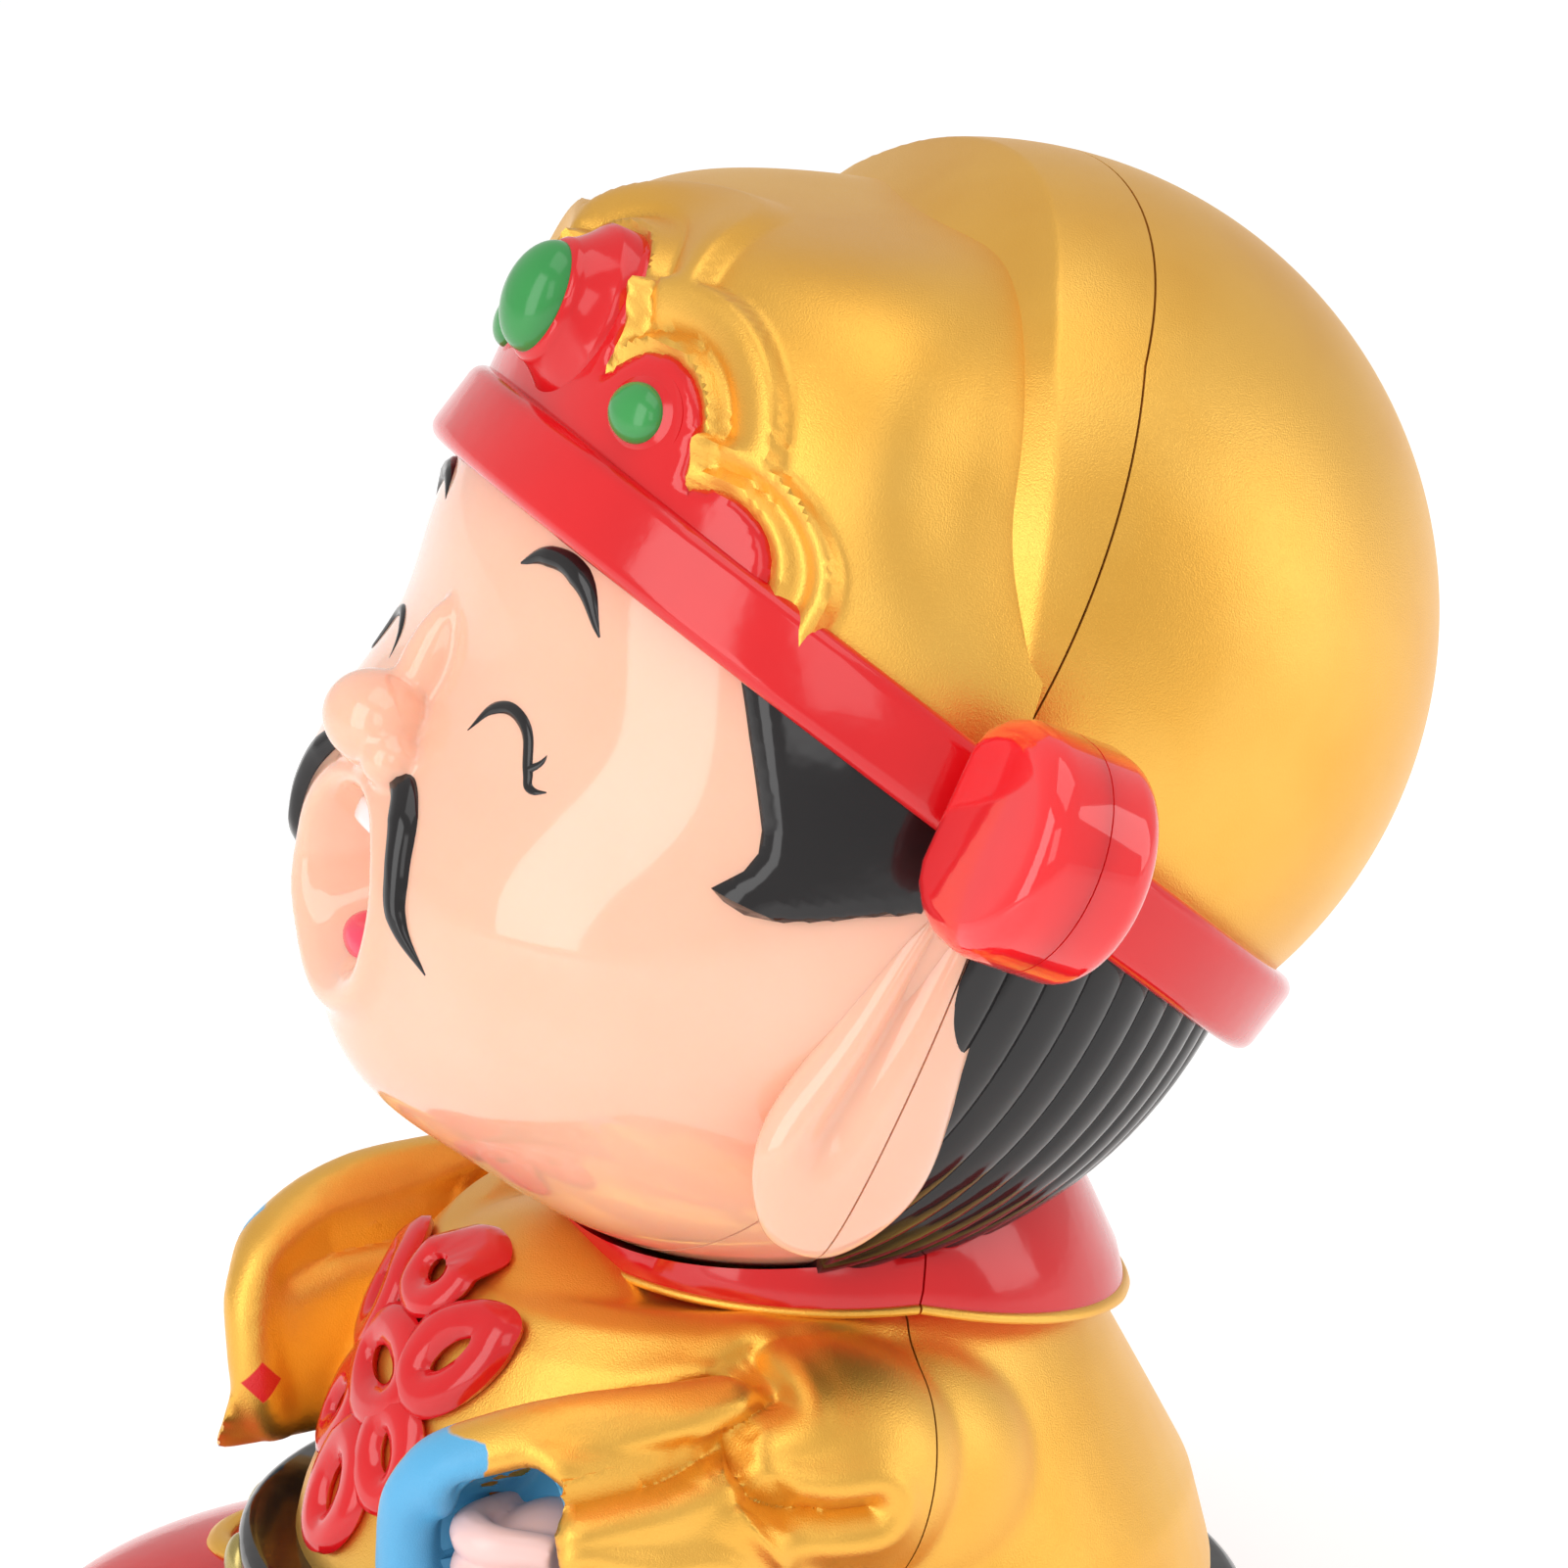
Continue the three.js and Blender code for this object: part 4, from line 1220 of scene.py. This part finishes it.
# %% Folds
ELBOW = [(-16.2, 37.3), (-16.1, 35.9), (-15.6, 34.7), (-13.4, 33.3), (-11.2, 33.0), (-8.6, 33.0)]
ARM_FROM, ARM_FULL = 13.0, 17.0
CLOTH = {"low": 24, "back": -2}
FINE_CLOTH = {"aside": 15, "low": 28, "back": -7}
FOLDS = [
    ([(-31.3, 35.0), (-28.0, 36.1), (-21.1, 36.4), (-16.2, 37.3)], 1.25, 1.3, 0.5),
    ([(-16.2, 37.3), (-14.4, 38.5), (-12.7, 39.4)], 1.1, 1.2, 0.4),
    (ELBOW, 1.4, 1.4, 0.4),
    ([(-16.7, 33.8), (-15.5, 32.0), (-14.1, 30.1)], -0.5, 0.9, 0.0),
    ([(-27.0, 31.5), (-22.5, 29.8), (-18.6, 29.4)], 0.5, 1.2, 0.4),
]


def near_fold(edge):
    at = (edge.verts[0].co + edge.verts[1].co) / 2
    if abs(at.x) < FINE_CLOTH["aside"] or at.z < FINE_CLOTH["low"] or at.y > FINE_CLOTH["back"]:
        return False
    return any(from_line(at.y, at.z, line) < 0.9 * width for line, _, width, _ in FOLDS)


def pressed(form):
    close = [edge for edge in form.edges if near_fold(edge)]
    bmesh.ops.subdivide_edges(form, edges=close, cuts=1, use_grid_fill=True)
    form.normal_update()
    for point in form.verts:
        outside = smooth_step(ARM_FROM, ARM_FULL, abs(point.co.x))
        if outside == 0 or point.co.z < CLOTH["low"] or point.co.y > CLOTH["back"]:
            continue
        sink = swelling = 0.0
        for line, deep, width, swell in FOLDS:
            away = from_line(point.co.y, point.co.z, line)
            if away < 4 * width:
                crease = deep * max(0.0, 1 - away / width) ** 1.5
                sink = crease if abs(crease) > abs(sink) else sink
                swelling = max(swelling, swell * bell(away, 1.5 * width, 0.7 * width))
        point.co -= point.normal * (sink - swelling) * outside
    return form


print("folds on an arm:", len(FOLDS))

# %% [markdown]
# All lumps of the body are melted into one skin. Room is kept for the head above it, the
# underside is cut flat over the base, and the seam's plane parts the front and rear shells.

# %% Robe shells
SEAM_POINT = Vector((0, -3, 38))
SEAM_LEAN = math.radians(15)
SEAM_NORMAL = Vector((0, math.cos(SEAM_LEAN), -math.sin(SEAM_LEAN)))
HEAD_ROOM = SKULL_RADIUS + 0.4
CHEST_MIDDLE = Vector((0, -17.5, 31.5))
CHEST_HALF = Vector((15.0, 12.5, 11.5))
FLANK = {"half": (9.0, 11.5, 11.2), "at": (15.4, -5, 29.0), "columns": 64, "rows": 48}
SHOULDER = {"half": (8.4, 8.8, 8.2), "at": (18.4, -8.6, 32.6)}


def on_side(side, half, at, **fineness):
    return egg(half, (at[0] * side, *at[1:]), **fineness)


def with_head_room(form):
    middle = HEAD_PLACE.translation
    for point in form.verts:
        away = point.co - middle
        if away.length < HEAD_ROOM:
            point.co = middle + away.normalized() * HEAD_ROOM
    return form


def both_shells(form, name, finish):
    """Cut a form along the body's seam, and give each half to its shell."""
    gap = SEAM_NORMAL * HAIRLINE_GAP
    rear = trimmed(form.copy(), SEAM_POINT + gap, -SEAM_NORMAL)
    piece(rear, f"{name}_rear", finish, ["body_back"])
    body_piece(trimmed(form, SEAM_POINT - gap, SEAM_NORMAL), f"{name}_front", finish)


lumps = [trunk(), egg(CHEST_HALF, CHEST_MIDDLE, 64, 48)]
for side, word in SIDES:
    rolled_lip = stroke([(x * side, y, z) for x, y, z in ROLL], ROLL_RADII)
    lumps += [on_side(side, **FLANK), on_side(side, **SHOULDER), sleeve(side), rolled_lip]
robe = with_head_room(pressed(melted(lumps, 0.42, 8)))
both_shells(above_floor(robe), "robe", ROBE_GOLD)

# %% [markdown]
# ## Body: collar
#
# The red collar is a flared ring, and the head rests in its bowl. It is spun from its section,
# drops towards the nape and leans its rim to the head. A thin gold welt runs under it.

# %% Collar
COLLAR = [
    (12.0, 38.0), (18.1, 41.6), (18.2, 42.4), (17.9, 43.4), (17.5, 44.2), (16.9, 44.8), (16.1, 44.8),
    (13.0, 42.0),
]
COLLAR_FALL = {"from": -2.0, "low": 0.30, "high": 0.17, "low_up": 41.6, "high_up": 44.8}
WELT = {"radius": 0.3, "round": 18.1, "up": 41.5}


def falling(form):
    """The lower edge drops more towards the nape than the rim does."""
    middle = HEAD_PLACE.translation
    for point in form.verts:
        back = max(0.0, point.co.y - COLLAR_FALL["from"])
        rise = COLLAR_FALL["high_up"] - COLLAR_FALL["low_up"]
        share = clamped((point.co.z - COLLAR_FALL["low_up"]) / rise)
        point.co.z -= back * (COLLAR_FALL["low"] + (COLLAR_FALL["high"] - COLLAR_FALL["low"]) * share)
        touching = middle + (point.co - middle).normalized() * HEAD_ROOM
        point.co = point.co.lerp(touching, share ** 1.5)
    return form


def welt():
    turns = [math.tau * step / 24 for step in range(24)]
    line = [(WELT["round"] * math.cos(t), WELT["round"] * math.sin(t), WELT["up"]) for t in turns]
    return falling(stroke(line, [WELT["radius"]] * len(line), closed=True))


both_shells(with_head_room(falling(spun(COLLAR, 160))), "collar", RED)
both_shells(welt(), "collar_welt", PEARL_GOLD)

# %% [markdown]
# ## Body: sleeve linings and fists
#
# The hollow of each sleeve is brushed blue, and a pale closed hand fills its mouth. The lining
# is a thin cup, a little smaller than the hollow. The hand is a palm with four curled fingers,
# melted into one another.


# %% Linings and fists
LINING = {"outside": 0.1, "inside": 0.4, "lip": 0.9, "bottom": 0.4, "floor": 0.8}
PALM = {"half": (4.6, 5.2, 5.2), "at": (19.0, -25.8, 28.2)}
FINGER = [(14.8, -27.0, 0.0), (18.8, -31.0, 0.2), (22.8, -27.2, 0.0)]
FINGER_RADII = [1.0, 1.45, 1.2]
FINGERS_UP = (31.8, 29.5, 27.2, 24.9)


def lining(side):
    cup = before_mouth(sleeve_form(side, SLEEVE["wall"] + LINING["outside"]), side, LINING["lip"])
    cup = behind_mouth(cup, side, SLEEVE["depth"] - LINING["bottom"])
    hollow = sleeve_form(side, SLEEVE["wall"] + LINING["inside"])
    hollow = behind_mouth(hollow, side, SLEEVE["depth"] - LINING["floor"])
    return melted([hollowed(cup, hollow)], CLAY_VOXEL, 2)


def fist(side):
    lumps = [on_side(side, **PALM)]
    for up in FINGERS_UP:
        lumps.append(stroke([(x * side, y, up + z) for x, y, z in FINGER], FINGER_RADII))
    return melted(lumps, CLAY_VOXEL, 3)


for side, word in SIDES:
    body_piece(lining(side), f"sleeve_lining_{word}", BLUE)
    piece(fist(side), f"fist_{word}", HAND, ["body_front"])
print("fingers on a hand:", len(FINGERS_UP))

# %% [markdown]
# ## Body: knot emblem
#
# A lucky knot of looped cord stands on the chest in low relief, brushed red on top. Each loop
# is a closed stroke, made flat and wrapped onto the belly, so that its gold ground shows in the
# openings.

# %% Emblem
CORD = {"up": 0.3, "flat": 0.55}
OUTWARD_FROM = {"across": 400, "up": 24, "lean": 0.8}


def on_belly(x, z, proud):
    """On trunk or chest, whichever stands further forward, with sizes measured along arcs."""
    x = CHEST_HALF.x * math.sin(x / CHEST_HALF.x)
    z = CHEST_MIDDLE.z + CHEST_HALF.z * math.sin((z - CHEST_MIDDLE.z) / CHEST_HALF.z)
    radius = 0.0
    for (r1, z1), (r2, z2) in zip(TRUNK_PROFILE[1:], TRUNK_PROFILE[2:]):
        if z2 <= z <= z1 and z1 > z2:
            radius = r1 + (r2 - r1) * (z1 - z) / (z1 - z2)
    trunk_y = TRUNK["middle"] - math.sqrt(max(1.0, radius ** 2 - (x / TRUNK["side_share"]) ** 2))
    rest = 1 - (x / CHEST_HALF.x) ** 2 - ((z - CHEST_MIDDLE.z) / CHEST_HALF.z) ** 2
    chest_y = CHEST_MIDDLE.y - CHEST_HALF.y * math.sqrt(max(0.05, rest))
    y = min(trunk_y, chest_y)
    up = (z - OUTWARD_FROM["up"]) * OUTWARD_FROM["lean"]
    out = Vector((x / OUTWARD_FROM["across"], y - TRUNK["middle"], up)).normalized()
    return Vector((x, y, z)) + out * proud


def loop(middle, half, turn, radius, name):
    """One closed cord, turned by so many degrees."""
    turning = Matrix.Rotation(math.radians(turn), 2)
    places = []
    for angle in (math.tau * i / 12 for i in range(12)):
        at = turning @ Vector((half[0] * math.cos(angle), half[1] * math.sin(angle)))
        places.append((middle[0] + at.x, middle[1] + at.y))
    form = stroke(places, [radius] * len(places), closed=True, resolution=6)
    wrapped(form, lambda x, z, w: on_belly(x, z, CORD["up"] + CORD["flat"] * w))
    body_piece(form, name, RED)


loop((0, 42.0), (2.4, 2.2), 0, 1.3, "knot_top")
loop((0, 35.0), (3.4, 2.4), 0, 1.4, "knot_middle")
loop((0, 27.2), (2.4, 3.2), 0, 1.5, "knot_bottom")
for side, word in SIDES:
    loop((side * 6.0, 38.0), (2.2, 3.3), -side * 38, 1.5, f"knot_upper_{word}")
    loop((side * 4.2, 31.0), (1.9, 2.6), side * 40, 1.3, f"knot_lower_{word}")

# %% [markdown]
# ## Body: belt
#
# A stiff black hoop belt leans down towards the back, with old-gold plaques round it. The hoop
# is a ring like the hat's band, then pressed flat at the sides and sheared.

# %% Belt
BELT = {"inner": 27.5, "radius": 32.6, "height": 6.0, "rounding": 1.2}
BELT_FRONT, BELT_BACK = 19.0, 11.0
BELT_SLOPE = (BELT_BACK - BELT_FRONT) / 60.0


def on_belt(form):
    for point in form.verts:
        level = (BELT_FRONT + BELT_BACK) / 2 + point.co.z + point.co.y * BELT_SLOPE
        point.co = (point.co.x * TRUNK["side_share"], point.co.y + TRUNK["middle"], level)
    return form


both_shells(on_belt(hoop(**BELT, steps=160)), "belt", BLACK)

# %% [markdown]
# The plaques are flat eggs, half sunk into the hoop. Those beside the middle one are narrower.

# %% Plaques
PLAQUE = {"thick": 1.3, "half_height": BELT["height"] * 0.36, "sunk": 0.35}
PLAQUES = [(-56, 3.3), (-34, 3.3), (-16, 2.2), (0, 3.3), (16, 2.2), (34, 3.3), (56, 3.3)]

for number, (turn, half_width) in enumerate(PLAQUES):
    half = (half_width, PLAQUE["thick"], PLAQUE["half_height"])
    plaque = egg(half, (0, PLAQUE["sunk"] - BELT["radius"], 0), 32, 24)
    turning = Matrix.Rotation(math.radians(turn), 3, "Z")
    bmesh.ops.rotate(plaque, cent=(0, 0, 0), matrix=turning, verts=plaque.verts)
    body_piece(on_belt(plaque), f"plaque_{number}", OLIVE_GOLD)

# %% [markdown]
# ## Body: legs
#
# The photo ends at the knees, so the rest is finished in keeping and plainer. Crossed legs
# under a red skirt make two flat rounded cushions, with the toes of black boots between them,
# and a gold curl lies on each knee.

# %% Knees and toes
KNEE = {"half": Vector((17.0, 22.0, 7.4)), "at": Vector((20.0, -26.4, 6.2))}
TOE = {"half": (6.4, 6.6, 4.4), "at": (8, -40, 8.6)}
CURL = {"x": 22, "y": -30, "start": 1.2, "growth": 0.55, "sunk": 0.05, "flat": 0.7}
CURL_TAIL = [(12.5, -24.5), (9.0, -21.0)]


def on_knee(x, y, w):
    at = KNEE["at"]
    rest = 1 - ((abs(x) - at.x) / KNEE["half"].x) ** 2 - ((y - at.y) / KNEE["half"].y) ** 2
    z = at.z + KNEE["half"].z * math.sqrt(max(0.02, rest))
    return Vector((x, y, z + CURL["sunk"] + CURL["flat"] * w))


def curl(side):
    path = []
    for turn in (math.radians(angle) for angle in range(0, 541, 45)):
        wide = CURL["start"] + CURL["growth"] * turn
        path.append((CURL["x"] + wide * math.cos(turn), CURL["y"] + wide * math.sin(turn)))
    path += CURL_TAIL
    radii = [0.5] + [0.85] * (len(path) - 2) + [0.2]
    return wrapped(stroke([(side * x, y) for x, y in path], radii), on_knee)


for side, word in SIDES:
    knee = on_side(side, KNEE["half"], KNEE["at"], columns=96, rows=64)
    body_piece(above_floor(knee), f"knee_{word}", RED)
    body_piece(curl(side), f"knee_curl_{word}", PEARL_GOLD)
    body_piece(above_floor(on_side(side, **TOE)), f"boot_{word}", BLACK)

# %% [markdown]
# ## Base
#
# A low red plinth carries the figure. It is a circle pushed towards a square, given its height,
# with one soft edge on top.

# %% Plinth
BASE = {
    "height": 4.2, "half_width": 38.5, "half_depth": 40.0, "middle": -11.0, "rounding": 1.3,
    "square": 3.0,
}


def plinth():
    form = bmesh.new()
    bmesh.ops.create_circle(form, cap_ends=True, segments=192, radius=1)
    for point in form.verts:
        x, y, _ = point.co
        out = (abs(x) ** BASE["square"] + abs(y) ** BASE["square"]) ** (-1 / BASE["square"])
        point.co = (x * out * BASE["half_width"], y * out * BASE["half_depth"] + BASE["middle"], 0)
    bmesh.ops.translate(form, vec=(0, 0, BASE["height"]), verts=second_layer(form))
    rim = [e for e in form.edges if all(v.co.z > BASE["height"] - SAME_PLACE for v in e.verts)]
    return rounded(form, rim, BASE["rounding"], 6)


piece(plinth(), "plinth", RED, ["base"])
